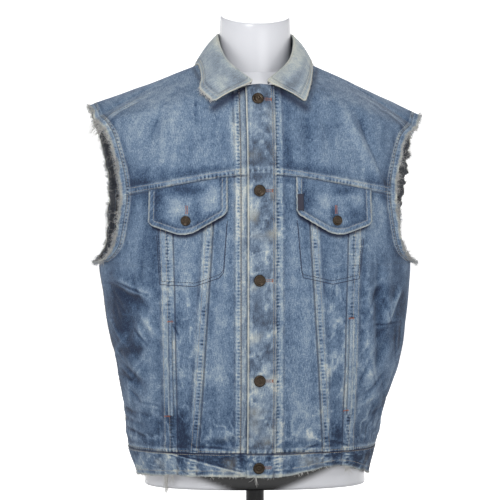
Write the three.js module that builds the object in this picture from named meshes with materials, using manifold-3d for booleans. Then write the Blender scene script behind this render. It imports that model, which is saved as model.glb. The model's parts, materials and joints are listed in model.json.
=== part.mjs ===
// A cut-off denim vest worn by a limbless dress form on a low stand.
// Millimetres, +Z up, the front faces -Y, and the origin is on the floor at the pole's axis.
// Left and right are as seen from the front: left is -X.
import * as THREE from 'three';
import Module from 'manifold-3d';
import { mergeVertices } from 'three/addons/utils/BufferGeometryUtils.js';

const wasm = await Module();
wasm.setup();

// Driving dimensions of the cloth
const cloth = 1.6;
const doubled = 2.2;
const collarThickness = 1.8;
const seamGap = 0.3;
const fellRaise = 0.7;
const fellWidth = 11;

// Heights of the cut
const hemCentre = 173;
const hemSide = 165;
const hemRise = { height: 13, share: 0.44, width: 0.24 };
const waistSeam = 208;
const armholeCentre = 600;
const shoulderLevel = 809;
const frontNeckLevel = 748;
const backNeckLevel = 784;
const neckHalfWidth = 86;
const shoulderDroop = { height: 15, from: 90, to: 250, lowest: 650, highest: 770 };

// Front fastening
const placketInner = -21;
const placketOuter = 21.5;
const underPlacketOuter = -33;
const underPlacketInner = 16;
const buttonAcross = -3.5;
const buttonHeights = [726, 593, 462, 315.5, 187];
const buttonRadius = 8.7;

// Seams that run down from the pockets
const vSeamAtWaist = { inner: 93, outer: 130 };
const vSeamAtPocket = { inner: 74, outer: 137 };
const pocketLevel = 510;

// Pocket flaps and hand pockets
const flapInner = 50;
const flapOuter = 162;
const flapPoint = 110;
const flapHeights = { inner: 560, point: 525, outer: 543 };
const flapSwell = 2.5;
const flapButton = { across: 109.5, height: 549 };
const flapTab = { from: 51.5, to: 60, top: 588, bottom: 564 };
const welt = { top: 404, bottom: 262, from: -4, to: 3 };

// Cut sleeves
const stubWidth = 13;
const stubFlare = { share: 0.8, level: 605, width: 75 };
const frayWidth = 2.4;
const armholeStrands = 44;
const hemStrands = 56;

// Dress form and stand
const formBottom = 150;
const neckRadius = { base: 54, top: 51.5 };
const neckTop = 852;
const neckTilt = 0.27;
const shoulderClearance = 2.8;
const poleRadius = 13.5;
const baseRadius = 150;
const baseHeight = 8;

const power = 2.2;
const slopePower = 1.25;

// A table of named columns, read at any level between its rows by a smooth curve that never overshoots
function table(columns, rows) {
  const tracks = {};
  const at = rows.map((row) => row[0]);
  columns.forEach((name, c) => {
    const values = rows.map((row) => row[c]);
    const rise = at.slice(1).map((v, i) => (values[i + 1] - values[i]) / (v - at[i]));
    const slope = values.map((_, i) => {
      if (i === 0) return rise[0];
      if (i === rise.length) return rise[i - 1];
      return rise[i - 1] * rise[i] <= 0 ? 0 : (2 * rise[i - 1] * rise[i]) / (rise[i - 1] + rise[i]);
    });
    tracks[name] = { values, slope };
  });
  return (level) => {
    const x = THREE.MathUtils.clamp(level, at[0], at[at.length - 1]);
    let i = 0;
    while (i < at.length - 2 && x > at[i + 1]) i += 1;
    const span = at[i + 1] - at[i];
    const t = (x - at[i]) / span;
    const row = {};
    for (const name of columns) {
      const { values, slope } = tracks[name];
      row[name] = (1 + 2 * t) * (1 - t) ** 2 * values[i] + t * (1 - t) ** 2 * span * slope[i]
        + t * t * (3 - 2 * t) * values[i + 1] + t * t * (t - 1) * span * slope[i + 1];
    }
    if (row.endShare > 1) row.endShare = 1;
    return row;
  };
}

// Sections of the worn vest. centreY and sideY are depths, left and right are half widths, endZ is
// the height where the section meets the side or the armhole, and endShare is the share of the half
// width at which it does.
const columns = ['level', 'centreY', 'sideY', 'left', 'right', 'endZ', 'endShare'];
const sections = {
  front: table(columns, [
    [150, -106, 3, 172, 170, 150, 1],
    [172, -110, 3, 179, 173, 172, 1],
    [204, -116, 4, 190, 181, 204, 1],
    [231, -121, 4, 193, 187, 231, 1],
    [258, -125, 4, 195, 193, 258, 1],
    [305, -129, 4, 204, 209, 305, 1],
    [340, -130, 4, 208, 219, 340, 1],
    [370, -130, 4, 217, 225, 370, 1],
    [440, -130, 4, 228, 232, 440, 1],
    [482, -130, 4, 234, 234, 482, 1],
    [485, -130, 4, 234, 234, 485, 0.975],
    [490, -130, 4, 234, 234, 490, 0.945],
    [498, -130, 4, 234, 234, 498, 0.913],
    [512, -130, 4, 234, 234, 512, 0.882],
    [538, -130, 4, 234, 234, 538, 0.858],
    [584, -129, 4, 233.5, 233.5, 584, 0.837],
    [605, -128, 4, 232, 232, 604, 0.845],
    [652, -123, 2, 230, 230, 640, 0.883],
    [700, -107, -4, 232, 232, 674, 0.914],
    [745, -87, -14, 237, 237, 692, 0.937],
    [780, -46, -25, 239, 239, 699, 0.954],
    [809, 0, -33, 240, 240, 702, 0.967],
  ]),
  back: table(columns, [
    [150, 100, 3, 172, 170, 150, 1],
    [172, 104, 3, 179, 173, 172, 1],
    [204, 108, 4, 190, 181, 204, 1],
    [231, 111, 4, 193, 187, 231, 1],
    [258, 114, 4, 195, 193, 258, 1],
    [305, 117, 4, 204, 209, 305, 1],
    [340, 119, 4, 208, 219, 340, 1],
    [370, 121, 4, 217, 225, 370, 1],
    [440, 126, 4, 228, 232, 440, 1],
    [482, 129, 4, 234, 234, 482, 1],
    [485, 129, 4, 234, 234, 485, 0.98],
    [490, 129, 4, 234, 234, 490, 0.957],
    [498, 130, 4, 234, 234, 498, 0.932],
    [512, 130, 4, 234, 234, 512, 0.908],
    [538, 130, 4, 234, 234, 538, 0.894],
    [600, 128, 4, 233, 233, 600, 0.888],
    [640, 122, 3, 231, 231, 636, 0.922],
    [680, 112, 2, 234, 234, 668, 0.944],
    [715, 100, 0, 238, 238, 690, 0.962],
    [745, 86, -2, 241, 241, 706, 0.971],
    [770, 72, -6, 244, 244, 716, 0.975],
    [790, 52, -13, 246, 246, 721, 0.976],
    [803, 24, -23, 243, 243, 714, 0.972],
    [809, 0, -33, 240, 240, 702, 0.967],
  ]),
};

// The right shoulder hangs lower towards its end
function droop(x, level) {
  const out = Math.max(x - shoulderDroop.from, 0) / (shoulderDroop.to - shoulderDroop.from);
  return shoulderDroop.height * out * out
    * THREE.MathUtils.smoothstep(level, shoulderDroop.lowest, shoulderDroop.highest);
}

// A point of the cloth before its creases. share runs from 0 at the centre line to 1 at the side or
// armhole seam, and below 0 it lies on the left.
function bodyPoint(face, share, level) {
  const row = sections[face](level);
  const width = share < 0 ? row.left : row.right;
  const angle = Math.abs(share) * Math.asin(row.endShare ** (power / 2));
  const x = width * Math.sin(angle) ** (2 / power);
  const y = row.sideY + (row.centreY - row.sideY) * Math.max(Math.cos(angle), 0) ** (2 / power);
  const z = level + (row.endZ - level) * (x / (width * row.endShare)) ** slopePower;
  return share < 0 ? new THREE.Vector3(-x, y, z) : new THREE.Vector3(x, y, z - droop(x, level));
}

function shareAt(face, x, level) {
  const row = sections[face](level);
  const width = x < 0 ? row.left : row.right;
  const angle = Math.asin(Math.min(Math.abs(x) / width, 1) ** (power / 2));
  return (Math.sign(x) * angle) / Math.asin(row.endShare ** (power / 2));
}

// The level of the section that passes a given height at a given distance across
function levelAt(face, x, z) {
  let low = 150;
  let high = face === 'front' ? shoulderLevel : 790;
  for (let i = 0; i < 30; i += 1) {
    const middle = (low + high) / 2;
    if (bodyPoint(face, shareAt(face, x, middle), middle).z < z) low = middle;
    else high = middle;
  }
  return (low + high) / 2;
}

function rawNormal(face, share, level) {
  const step = 0.004;
  const rise = 0.5;
  const low = Math.max(level - rise, 150);
  const high = Math.min(level + rise, shoulderLevel);
  const side = share < 0 ? -1 : 1;
  const near = Math.max(Math.abs(share) - step, 0.001);
  const far = Math.min(Math.abs(share) + step, 1);
  const across = bodyPoint(face, side * far, level).sub(bodyPoint(face, side * near, level));
  const up = bodyPoint(face, share, high).sub(bodyPoint(face, share, low));
  const normal = across.cross(up).normalize();
  if (Math.abs(share) < 0.02) normal.x *= Math.abs(share) / 0.02;
  const point = bodyPoint(face, share, level);
  const inside = new THREE.Vector3(0.6 * point.x, 0, point.z - 80);
  return normal.dot(point.sub(inside)) < 0 ? normal.negate().normalize() : normal.normalize();
}

// Front and back share one direction along the shoulder seam, so their walls stay side by side
function bodyNormal(face, share, level) {
  const normal = rawNormal(face, share, level);
  const near = THREE.MathUtils.smoothstep(level, shoulderLevel - 22, shoulderLevel);
  if (near === 0) return normal;
  const shared = rawNormal('front', share, shoulderLevel).add(rawNormal('back', share, shoulderLevel));
  return normal.lerp(shared.normalize(), near).normalize();
}

// The main creases: two ends on the cloth, half width, and height, which is negative for a trough
const creaseColumns = ['face', 'x0', 'z0', 'x1', 'z1', 'width', 'height'];
const creases = [
  ['front', -212, 462, -168, 440, 9, 4.5],
  ['front', -208, 445, -172, 424, 8, -5],
  ['front', -200, 372, -186, 410, 13, -6],
  ['front', -178, 330, -158, 366, 9, 4],
  ['front', -198, 352, -170, 318, 9, 4.5],
  ['front', -196, 334, -172, 300, 8, -4],
  ['front', -160, 300, -178, 262, 9, 3.5],
  ['front', 158, 480, 166, 300, 9, 4],
  ['front', 174, 486, 178, 330, 8, -5],
  ['front', 190, 470, 192, 350, 9, 4],
  ['front', 200, 400, 176, 330, 9, -4],
  ['front', 168, 300, 186, 262, 8, 3.5],
  ['front', -146, 712, -164, 664, 9, -4],
  ['front', -122, 718, -140, 640, 10, 3],
  ['front', 122, 714, 182, 598, 9, 4],
  ['front', 146, 708, 170, 640, 8, -4],
  ['front', 66, 706, 70, 622, 8, -3.5],
  ['front', 84, 700, 88, 640, 8, 3],
  ['front', -46, 712, -34, 628, 7, 3],
  ['front', -60, 700, -52, 630, 8, -2.5],
  ['front', -72, 232, -30, 240, 6, 3],
  ['front', -80, 218, -34, 224, 6, -3],
  ['front', 40, 236, 84, 226, 6, 2.5],
  ['front', 46, 470, 58, 300, 12, -2.5],
  ['front', -46, 440, -52, 260, 12, -2.5],
  ['front', 150, 250, 178, 226, 7, -3],
  ['front', -150, 246, -176, 230, 7, 3],
  ['back', -206, 460, -150, 420, 10, 4.5],
  ['back', -196, 436, -140, 398, 9, -5],
  ['back', 206, 452, 148, 430, 10, 4],
  ['back', 200, 428, 150, 408, 9, -4.5],
  ['back', -188, 350, -176, 268, 10, -4.5],
  ['back', -164, 366, -158, 250, 10, 4],
  ['back', 186, 340, 172, 262, 10, -4.5],
  ['back', 160, 360, 150, 244, 10, 3.5],
  ['back', -60, 300, -20, 236, 12, 3],
  ['back', 30, 320, 44, 232, 12, -3],
  ['back', 86, 290, 92, 226, 9, 3],
  ['back', -110, 282, -104, 226, 9, -3],
  ['back', -160, 690, -180, 612, 10, -4],
  ['back', 158, 694, 182, 622, 10, 4],
  ['back', -90, 700, -60, 640, 14, 2.5],
  ['back', 60, 690, 84, 630, 12, -2.5],
  ['back', -150, 560, -120, 470, 12, 3.5],
  ['back', 140, 570, 118, 460, 12, -3.5],
].map((row) => Object.fromEntries(row.map((value, i) => [creaseColumns[i], value])));

for (const crease of creases) {
  crease.path = [0, 0.25, 0.5, 0.75, 1].map((t) => {
    const x = crease.x0 + (crease.x1 - crease.x0) * t;
    const level = levelAt(crease.face, x, crease.z0 + (crease.z1 - crease.z0) * t);
    return bodyPoint(crease.face, shareAt(crease.face, x, level), level);
  });
}

// Height of the creases at a point: each is a soft ridge or trough that fades towards both ends
function creaseHeight(point) {
  const line = new THREE.Line3();
  const nearest = new THREE.Vector3();
  let height = 0;
  for (const crease of creases) {
    let best = Infinity;
    let along = 0;
    for (let i = 0; i < 4; i += 1) {
      line.set(crease.path[i], crease.path[i + 1]);
      const t = line.closestPointToPointParameter(point, true);
      const distance = line.at(t, nearest).distanceTo(point);
      if (distance < best) {
        best = distance;
        along = (i + t) / 4;
      }
    }
    const fade = Math.sin(Math.PI * (0.12 + 0.76 * along));
    height += crease.height * fade * Math.exp(-((best / crease.width) ** 2));
  }
  return height;
}

function clothPoint(face, share, level, lift) {
  const point = bodyPoint(face, share, level);
  const normal = bodyNormal(face, share, level);
  return point.clone().addScaledVector(normal, lift + creaseHeight(point));
}

// Seam lines, given as levels or as shares
const edgeRoom = seamGap / 2;
const hemLevel = (share) => hemCentre + (hemSide - hemCentre) * share * share;
const frontHemLevel = (share) => (
  hemLevel(share)
    + hemRise.height * Math.exp(-(((share - hemRise.share) / hemRise.width) ** 2)) * (1 - share ** 8)
);
const waistLevel = () => waistSeam;
const yokeX = table(['x', 'level'], [[0, 620], [65, 612], [115, 603], [160, 594], [200, 586]]);
const yokeLevel = (share) => yokeX(Math.abs(bodyPoint('front', share, 600).x)).level;
const backYokeLevel = (share) => 604 - 10 * share * share;

function vSeam(which, level) {
  const t = (level - waistSeam) / (pocketLevel - waistSeam);
  return vSeamAtWaist[which] + (vSeamAtPocket[which] - vSeamAtWaist[which]) * t;
}

const neckFront = table(['level', 'x'], [
  [600, 0], [frontNeckLevel, 0], [752, 26], [762, 50], [778, 69], [shoulderLevel, neckHalfWidth],
]);
const neckBack = table(['level', 'x'], [
  [600, 0], [backNeckLevel, 0], [786, 32], [792, 58], [800, 76], [shoulderLevel, neckHalfWidth],
]);

// Closed wall between two grids of points. A ring wraps from its last column to its first.
function wall(outer, inner, ring = false) {
  const rows = outer.length;
  const count = outer[0].length;
  const positions = [...outer.flat(), ...inner.flat()].flatMap((p) => [p.x, p.y, p.z]);
  const id = (layer, j, i) => layer * rows * count + j * count + (i % count);
  const index = [];
  const quad = (a, b, c, d) => index.push(a, b, c, a, c, d);
  const spans = ring ? count : count - 1;
  for (let j = 0; j < rows - 1; j += 1) {
    for (let i = 0; i < spans; i += 1) {
      quad(id(0, j, i), id(0, j, i + 1), id(0, j + 1, i + 1), id(0, j + 1, i));
      quad(id(1, j, i), id(1, j + 1, i), id(1, j + 1, i + 1), id(1, j, i + 1));
    }
  }
  for (let i = 0; i < spans; i += 1) {
    quad(id(0, 0, i), id(1, 0, i), id(1, 0, i + 1), id(0, 0, i + 1));
    quad(id(0, rows - 1, i), id(0, rows - 1, i + 1), id(1, rows - 1, i + 1), id(1, rows - 1, i));
  }
  for (let j = 0; !ring && j < rows - 1; j += 1) {
    quad(id(0, j, 0), id(0, j + 1, 0), id(1, j + 1, 0), id(1, j, 0));
    quad(id(0, j, count - 1), id(1, j, count - 1), id(1, j + 1, count - 1), id(0, j + 1, count - 1));
  }
  return facingOut(positions, index);
}

// Makes the geometry, turned so that its faces point outwards
function facingOut(positions, index) {
  const a = new THREE.Vector3();
  const b = new THREE.Vector3();
  const c = new THREE.Vector3();
  let volume = 0;
  for (let i = 0; i < index.length; i += 3) {
    a.fromArray(positions, 3 * index[i]);
    b.fromArray(positions, 3 * index[i + 1]);
    c.fromArray(positions, 3 * index[i + 2]);
    volume += a.dot(b.cross(c));
  }
  if (volume < 0) index.reverse();
  const geometry = new THREE.BufferGeometry();
  geometry.setAttribute('position', new THREE.Float32BufferAttribute(positions, 3));
  geometry.setIndex(index);
  return geometry;
}

function toSolid(geometry) {
  return new wasm.Manifold(new wasm.Mesh({
    numProp: 3,
    vertProperties: new Float32Array(geometry.attributes.position.array),
    triVerts: new Uint32Array(geometry.index.array),
  }));
}

function fromSolid(solid) {
  const { vertProperties, triVerts } = solid.getMesh();
  return facingOut([...vertProperties], [...triVerts]);
}

// A panel of cloth between two side seams and two cross seams
function panel({
  face, from, to, bottom, top, across, stops, lift = 0, thickness = cloth, raised = () => 0,
}) {
  const outer = [];
  const inner = [];
  for (const t of stops) {
    const outerRow = [];
    const innerRow = [];
    for (let i = 0; i <= across; i += 1) {
      let level = THREE.MathUtils.lerp(bottom(1), top(1), t);
      let share = 0;
      for (let pass = 0; pass < 4; pass += 1) {
        share = THREE.MathUtils.lerp(from(level), to(level), i / across);
        level = levelBetween(face, share, bottom(share), top(share), t);
      }
      const point = bodyPoint(face, share, level);
      const raise = (typeof lift === 'function' ? lift(share) : lift) + creaseHeight(point);
      const normal = bodyNormal(face, share, level);
      outerRow.push(point.clone().addScaledVector(normal, raise + raised(share, level)));
      innerRow.push(point.clone().addScaledVector(normal, raise - thickness));
    }
    outer.push(outerRow);
    inner.push(innerRow);
  }
  return wall(outer, inner);
}

// Level between two cross seams, half a seam gap clear of each
function levelBetween(face, share, bottom, top, t) {
  const speedAt = (level, step) => bodyPoint(face, share, level)
    .distanceTo(bodyPoint(face, share, level + step)) / Math.abs(step);
  const low = bottom + edgeRoom / speedAt(bottom, 0.5);
  const high = top - edgeRoom / speedAt(top, -0.5);
  return THREE.MathUtils.lerp(low, high, t);
}

// Share of the side or armhole seam, half a seam gap short of it
function seamShare(face, side, level) {
  const step = 0.002;
  const speed = bodyPoint(face, side, level).distanceTo(bodyPoint(face, side * (1 - step), level)) / step;
  return side * (1 - edgeRoom / speed);
}

const even = (count) => Array.from({ length: count + 1 }, (_, i) => i / count);

// Rows of the side panels and the yokes, closer where the armhole turns and where the shoulder does
const sideLevels = [waistSeam, 232, 260, 290, 320, 350, 380, 410, 440, 464];
const armholeLevels = [482, 485, 490, 498, 512, 534, 560];
const yokeLevels = [614, 640, 665, 690, 714, 736, 756, 773, 787, 799];

function armholeStops(top) {
  return [...sideLevels, ...armholeLevels, top].map((level) => (level - waistSeam) / (top - waistSeam));
}

function yokeStops(bottom) {
  return [bottom, ...yokeLevels, shoulderLevel].map((level) => (level - bottom) / (shoulderLevel - bottom));
}

// Raised strip of a felled seam, at one side of a seam line across the panel
const besideSeam = (face, line, side) => (share, level) => {
  const distance = (Math.abs(bodyPoint(face, share, level).x) - line(level)) * side;
  return fellRaise * (1 - THREE.MathUtils.smoothstep(distance, fellWidth - 4, fellWidth + 4));
};
const aboveSeam = (line) => (share, level) => (
  fellRaise * (1 - THREE.MathUtils.smoothstep(level - line(share), fellWidth - 4, fellWidth + 4))
);

const denim = { color: 0x6885a3, roughness: 0.9, metalness: 0 };
const bronze = { color: 0x4b4132, roughness: 0.45, metalness: 0.8 };
const whiteGloss = { color: 0xf2f2f0, roughness: 0.2, metalness: 0 };
const blackSteel = { color: 0x1a1a1c, roughness: 0.4, metalness: 0.3 };

const group = new THREE.Group();

function addPiece(name, geometry, finish) {
  geometry.computeVertexNormals();
  const mesh = new THREE.Mesh(geometry, new THREE.MeshStandardMaterial(finish));
  mesh.name = name;
  group.add(mesh);
  return mesh;
}

const sides = [{ word: 'left', sign: -1 }, { word: 'right', sign: 1 }];

// The x of the seam between the fastening and the centre panel
const placketSeam = (sign) => (sign < 0 ? underPlacketOuter : placketOuter);

function addFrontPanels() {
  for (const { word, sign } of sides) {
    const atX = (x) => (level) => shareAt('front', sign * x(level), level);
    const opening = Math.abs(placketSeam(sign)) + edgeRoom;
    const inner = (level) => vSeam('inner', level);
    const outer = (level) => vSeam('outer', level);
    addPiece(`front_centre_${word}`, panel({
      face: 'front', from: atX(() => opening), to: atX((level) => inner(level) - edgeRoom),
      bottom: waistLevel, top: yokeLevel, across: 4, stops: even(15),
    }), denim);
    addPiece(`front_middle_${word}`, panel({
      face: 'front', from: atX((level) => inner(level) + edgeRoom),
      to: atX((level) => outer(level) - edgeRoom),
      bottom: waistLevel, top: yokeLevel, across: 4, stops: even(15),
      raised: besideSeam('front', inner, 1),
    }), denim);
    addPiece(`front_side_${word}`, panel({
      face: 'front', from: atX((level) => outer(level) + edgeRoom),
      to: (level) => seamShare('front', sign, level),
      bottom: waistLevel, top: yokeLevel, across: 7, stops: armholeStops(yokeLevel(1)),
      raised: besideSeam('front', outer, 1),
    }), denim);
    const neck = (level) => Math.max(neckFront(level).x, Math.abs(placketSeam(sign))) + edgeRoom;
    addPiece(`front_yoke_${word}`, panel({
      face: 'front', from: atX(neck), to: (level) => seamShare('front', sign, level),
      bottom: yokeLevel, top: () => shoulderLevel, across: 9, stops: yokeStops(yokeLevel(1)),
      raised: aboveSeam(yokeLevel),
    }), denim);
  }
}

// The right front laps over the left: its strip lies outside the other one
const placketLift = doubled + 2 * seamGap;

function addPlackets() {
  const strip = (from, to, lift, thickness) => panel({
    face: 'front',
    from: (level) => shareAt('front', from, level),
    to: (level) => shareAt('front', to, level),
    bottom: waistLevel, top: () => frontNeckLevel, across: 3, stops: even(22), lift, thickness,
  });
  addPiece('placket_left_under', strip(underPlacketOuter + edgeRoom, underPlacketInner, 0, cloth), denim);
  addPiece('placket_right_over', strip(placketInner, placketOuter - edgeRoom, placketLift, doubled), denim);
}

function addBackPanels() {
  const backX = (x) => (level) => shareAt('back', x, level);
  const seam = (level) => 92 + 22 * (level - waistSeam) / (604 - waistSeam);
  addPiece('back_centre', panel({
    face: 'back', from: (level) => backX(-seam(level) + edgeRoom)(level),
    to: (level) => backX(seam(level) - edgeRoom)(level),
    bottom: waistLevel, top: backYokeLevel, across: 10, stops: even(13),
    raised: besideSeam('back', seam, -1),
  }), denim);
  for (const { word, sign } of sides) {
    addPiece(`back_side_${word}`, panel({
      face: 'back', from: (level) => backX(sign * (seam(level) + edgeRoom))(level),
      to: (level) => seamShare('back', sign, level),
      bottom: waistLevel, top: backYokeLevel, across: 7, stops: armholeStops(backYokeLevel(1)),
    }), denim);
  }
  const yokeHalves = sides.map(({ sign }) => panel({
    face: 'back', from: (level) => backX(sign * neckBack(level).x)(level),
    to: (level) => seamShare('back', sign, level),
    bottom: backYokeLevel, top: () => shoulderLevel, across: 9, stops: yokeStops(backYokeLevel(1)),
    raised: aboveSeam(backYokeLevel),
  }));
  addPiece('back_yoke', fromSolid(toSolid(yokeHalves[0]).add(toSolid(yokeHalves[1]))), denim);
}

// The right end of the band lies outside the left end, and comes back to the common level beside it
const bandLift = 0.8;
const bandThickness = 2.6;
const lapRise = 3.1;
const lapLift = (share) => bandLift + lapRise * (1 - THREE.MathUtils.smoothstep(share, 0.09, 0.3));

function addWaistband() {
  const band = { bottom: frontHemLevel, top: waistLevel, thickness: bandThickness, lift: bandLift };
  addPiece('waistband_left', panel({
    ...band, face: 'front', from: (level) => shareAt('front', underPlacketInner, level),
    to: (level) => seamShare('front', -1, level), across: 14, stops: even(3),
  }), denim);
  addPiece('waistband_right', panel({
    ...band, face: 'front', lift: lapLift, from: (level) => shareAt('front', placketInner, level),
    to: (level) => seamShare('front', 1, level), across: 14, stops: even(3),
  }), denim);
  addPiece('waistband_back', panel({
    ...band, face: 'back', bottom: hemLevel, from: (level) => seamShare('back', -1, level),
    to: (level) => seamShare('back', 1, level), across: 22, stops: even(3),
  }), denim);
}

// Pieces that lie on the front panels
function addFlaps() {
  const lowEdge = (x) => (x < flapPoint
    ? THREE.MathUtils.mapLinear(x, flapInner, flapPoint, flapHeights.inner, flapHeights.point)
    : THREE.MathUtils.mapLinear(x, flapPoint, flapOuter, flapHeights.point, flapHeights.outer));
  const flapX = [flapInner, 65, 80, 95, flapPoint, 123, 136, 149, flapOuter];
  for (const { word, sign } of sides) {
    const grid = (lift, swell) => even(5).map((t) => flapX.map((x) => {
      const top = yokeX(x).level - 1;
      const level = THREE.MathUtils.lerp(lowEdge(x), top, t);
      return clothPoint('front', shareAt('front', sign * x, level), level, lift + swell * (1 - t));
    }));
    const under = fellRaise + seamGap;
    addPiece(`pocket_flap_${word}`, wall(grid(under + doubled, flapSwell), grid(under, flapSwell)), denim);
  }
}

// A small plain strip of tape on the right flap's inner side
function addFlapTab() {
  const tabX = even(2).map((u) => THREE.MathUtils.lerp(flapTab.from, flapTab.to, u));
  const grid = (lift) => even(3).map((t) => tabX.map((x) => {
    const level = THREE.MathUtils.lerp(flapTab.bottom, flapTab.top, t);
    return clothPoint('front', shareAt('front', x, level), level, lift + flapSwell * (1 - t));
  }));
  const under = fellRaise + 2 * seamGap + doubled + 1;
  addPiece('flap_tab', wall(grid(under + 1), grid(under)), denim);
}

function addWelts() {
  for (const { word, sign } of sides) {
    const grid = (lift) => even(9).map((t) => even(2).map((u) => {
      const level = THREE.MathUtils.lerp(welt.bottom, welt.top, t);
      const x = vSeam('outer', level) + THREE.MathUtils.lerp(welt.from, welt.to, u);
      return clothPoint('front', shareAt('front', sign * x, level), level, lift);
    }));
    const under = fellRaise + 3 * seamGap;
    addPiece(`hand_pocket_welt_${word}`, wall(grid(under + cloth), grid(under)), denim);
  }
}

// A domed metal button, its back just off the cloth
function addButton(name, share, level, lift) {
  const profile = [[0, 0], [4.6, 0], [4.6, 1.1], [buttonRadius - 1, 1.1], [buttonRadius, 2],
    [buttonRadius - 0.6, 3.2], [buttonRadius - 2.4, 3.7], [buttonRadius - 3.6, 3.2], [0, 3.5]];
  const lathe = new THREE.LatheGeometry(profile.map(([r, h]) => new THREE.Vector2(r, h)), 14);
  const point = clothPoint('front', share, level, lift);
  const turn = new THREE.Quaternion().setFromUnitVectors(
    new THREE.Vector3(0, 1, 0), bodyNormal('front', share, level));
  const mesh = addPiece(name, closedLathe(lathe), bronze);
  mesh.position.copy(point);
  mesh.quaternion.copy(turn);
}

function closedLathe(lathe) {
  lathe.deleteAttribute('normal');
  lathe.deleteAttribute('uv');
  const merged = mergeVertices(lathe, 1e-4);
  const kept = [];
  const index = merged.index.array;
  for (let i = 0; i < index.length; i += 3) {
    const [a, b, c] = [index[i], index[i + 1], index[i + 2]];
    if (a !== b && b !== c && a !== c) kept.push(a, b, c);
  }
  return facingOut([...merged.attributes.position.array], kept);
}

function addButtons() {
  const onPlacket = placketLift + seamGap;
  buttonHeights.forEach((level, i) => {
    const onBand = level < waistSeam ? bandLift * 2 : 0;
    addButton(`front_button_${i + 1}`, shareAt('front', buttonAcross, level), level, onPlacket + onBand);
  });
  for (const { word, sign } of sides) {
    const { across, height } = flapButton;
    const share = shareAt('front', sign * across, height);
    addButton(`flap_button_${word}`, share, height, fellRaise + doubled + 2 * seamGap + 1.8);
  }
}

// Collar: named points from the front end round to the back centre
function curve(points) {
  const [x, y, z] = points.at(-2);
  const whole = new THREE.CatmullRomCurve3([...points, [-x, y, z]].map((p) => new THREE.Vector3(...p)));
  return (t) => whole.getPoint((t * (points.length - 1)) / points.length);
}
const collarFold = curve([[11, -91, 754], [36, -66, 787], [57, -12, 818], [46, 37, 824], [0, 57.5, 826]]);
const collarStand = curve([[12, -84.5, 750], [52, -58, 767], [83, -4, 783], [62, 40, 789], [0, 58, 790]]);
const collarEdge = curve([['front', 66, 719, 4.2], ['front', 72, 735, 4.6], ['front', 78, 751, 5],
  ['front', 86, 774, 6], ['back', 80, 770, 7], ['back', 62, 762, 6], ['back', 36, 756, 5],
  ['back', 0, 753, 5]].map(([face, x, z, lift]) => {
  const level = levelAt(face, x, z);
  return clothPoint(face, shareAt(face, x, level), level, lift).toArray();
}));
const collarRoll = 2;

function collarSection(v) {
  const side = Math.sign(v) || 1;
  const t = 1 - Math.abs(v);
  const fold = collarFold(t);
  const edge = collarEdge(t);
  const stand = collarStand(t);
  const out = new THREE.Vector3(fold.x, fold.y, 0).normalize();
  if (t === 1) out.set(0, 1, 0);
  const up = new THREE.Vector3(0, 0, 1);
  const leafTop = fold.clone().addScaledVector(out, collarRoll);
  const rise = 1 - 0.8 * Math.abs(v) ** 6;
  const first = leafTop.clone().addScaledVector(out, 9 * rise).addScaledVector(up, -5);
  const second = edge.clone().lerp(fold, 0.4).addScaledVector(out, 5).addScaledVector(up, 5);
  const leaf = new THREE.CubicBezierCurve3(edge, second, first, leafTop);
  const path = [0, 0.2, 0.4, 0.6, 0.8, 1].map((u) => leaf.getPoint(u));
  path.push(fold.clone().addScaledVector(out, 1.3).addScaledVector(up, collarRoll * 0.8));
  path.push(fold.clone().addScaledVector(out, -1.3).addScaledVector(up, collarRoll * 0.8));
  path.push(fold.clone().addScaledVector(out, -collarRoll));
  const foot = stand.clone().addScaledVector(out, -2.2);
  path.push(fold.clone().addScaledVector(out, -collarRoll).lerp(foot, 0.55), foot);
  return path.map((p) => p.setX(p.x * side));
}

function addCollar() {
  const stations = even(26).map((t) => collarSection(2 * t - 1));
  const outer = stations;
  const inner = stations.map((row, j) => row.map((point, i) => {
    const next = row[Math.min(i + 1, row.length - 1)];
    const last = row[Math.max(i - 1, 0)];
    const ahead = stations[Math.min(j + 1, stations.length - 1)][i];
    const behind = stations[Math.max(j - 1, 0)][i];
    const normal = next.clone().sub(last).cross(ahead.clone().sub(behind)).normalize();
    return point.clone().addScaledVector(normal, -collarThickness);
  }));
  addPiece('collar', wall(outer, inner), denim);
}

// Cut sleeves: what is left of them beyond the armhole seam, with a frayed edge of loose locks
function armholeRing(side) {
  const marks = [
    ...[...armholeLevels, yokeLevel(1), ...yokeLevels].map((level) => ['front', level]),
    ...[...armholeLevels.slice(1), backYokeLevel(1), ...yokeLevels, shoulderLevel].reverse()
      .map((level) => ['back', level]),
  ];
  const points = marks.map(([face, level]) => clothPoint(face, side, level, 0));
  return points.map((point, i) => {
    const [face, level] = marks[i];
    const along = points[(i + 1) % points.length].clone().sub(points.at(i - 1)).normalize();
    const across = bodyPoint(face, side, level).sub(bodyPoint(face, side * 0.98, level)).normalize();
    const drop = THREE.MathUtils.mapLinear(point.z, armholeLevels[0], 720, -0.12, -0.5);
    const away = new THREE.Vector3(side, 0, drop).multiplyScalar(1.3).add(across).normalize();
    const normal = along.cross(away).normalize();
    if (normal.y * point.y + normal.z * (point.z - armholeCentre) < 0) normal.negate();
    const flare = Math.exp(-(((level - stubFlare.level) / stubFlare.width) ** 2));
    if (side > 0 && face === 'back') away.multiplyScalar(1 + stubFlare.share * flare);
    return { point, away, normal };
  });
}

function ringGrid(ring, stops, lift) {
  return stops.map((s) => ring.map(({ point, away, normal }) => (
    point.clone().addScaledVector(away, s).addScaledVector(normal, lift)
  )));
}

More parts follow.
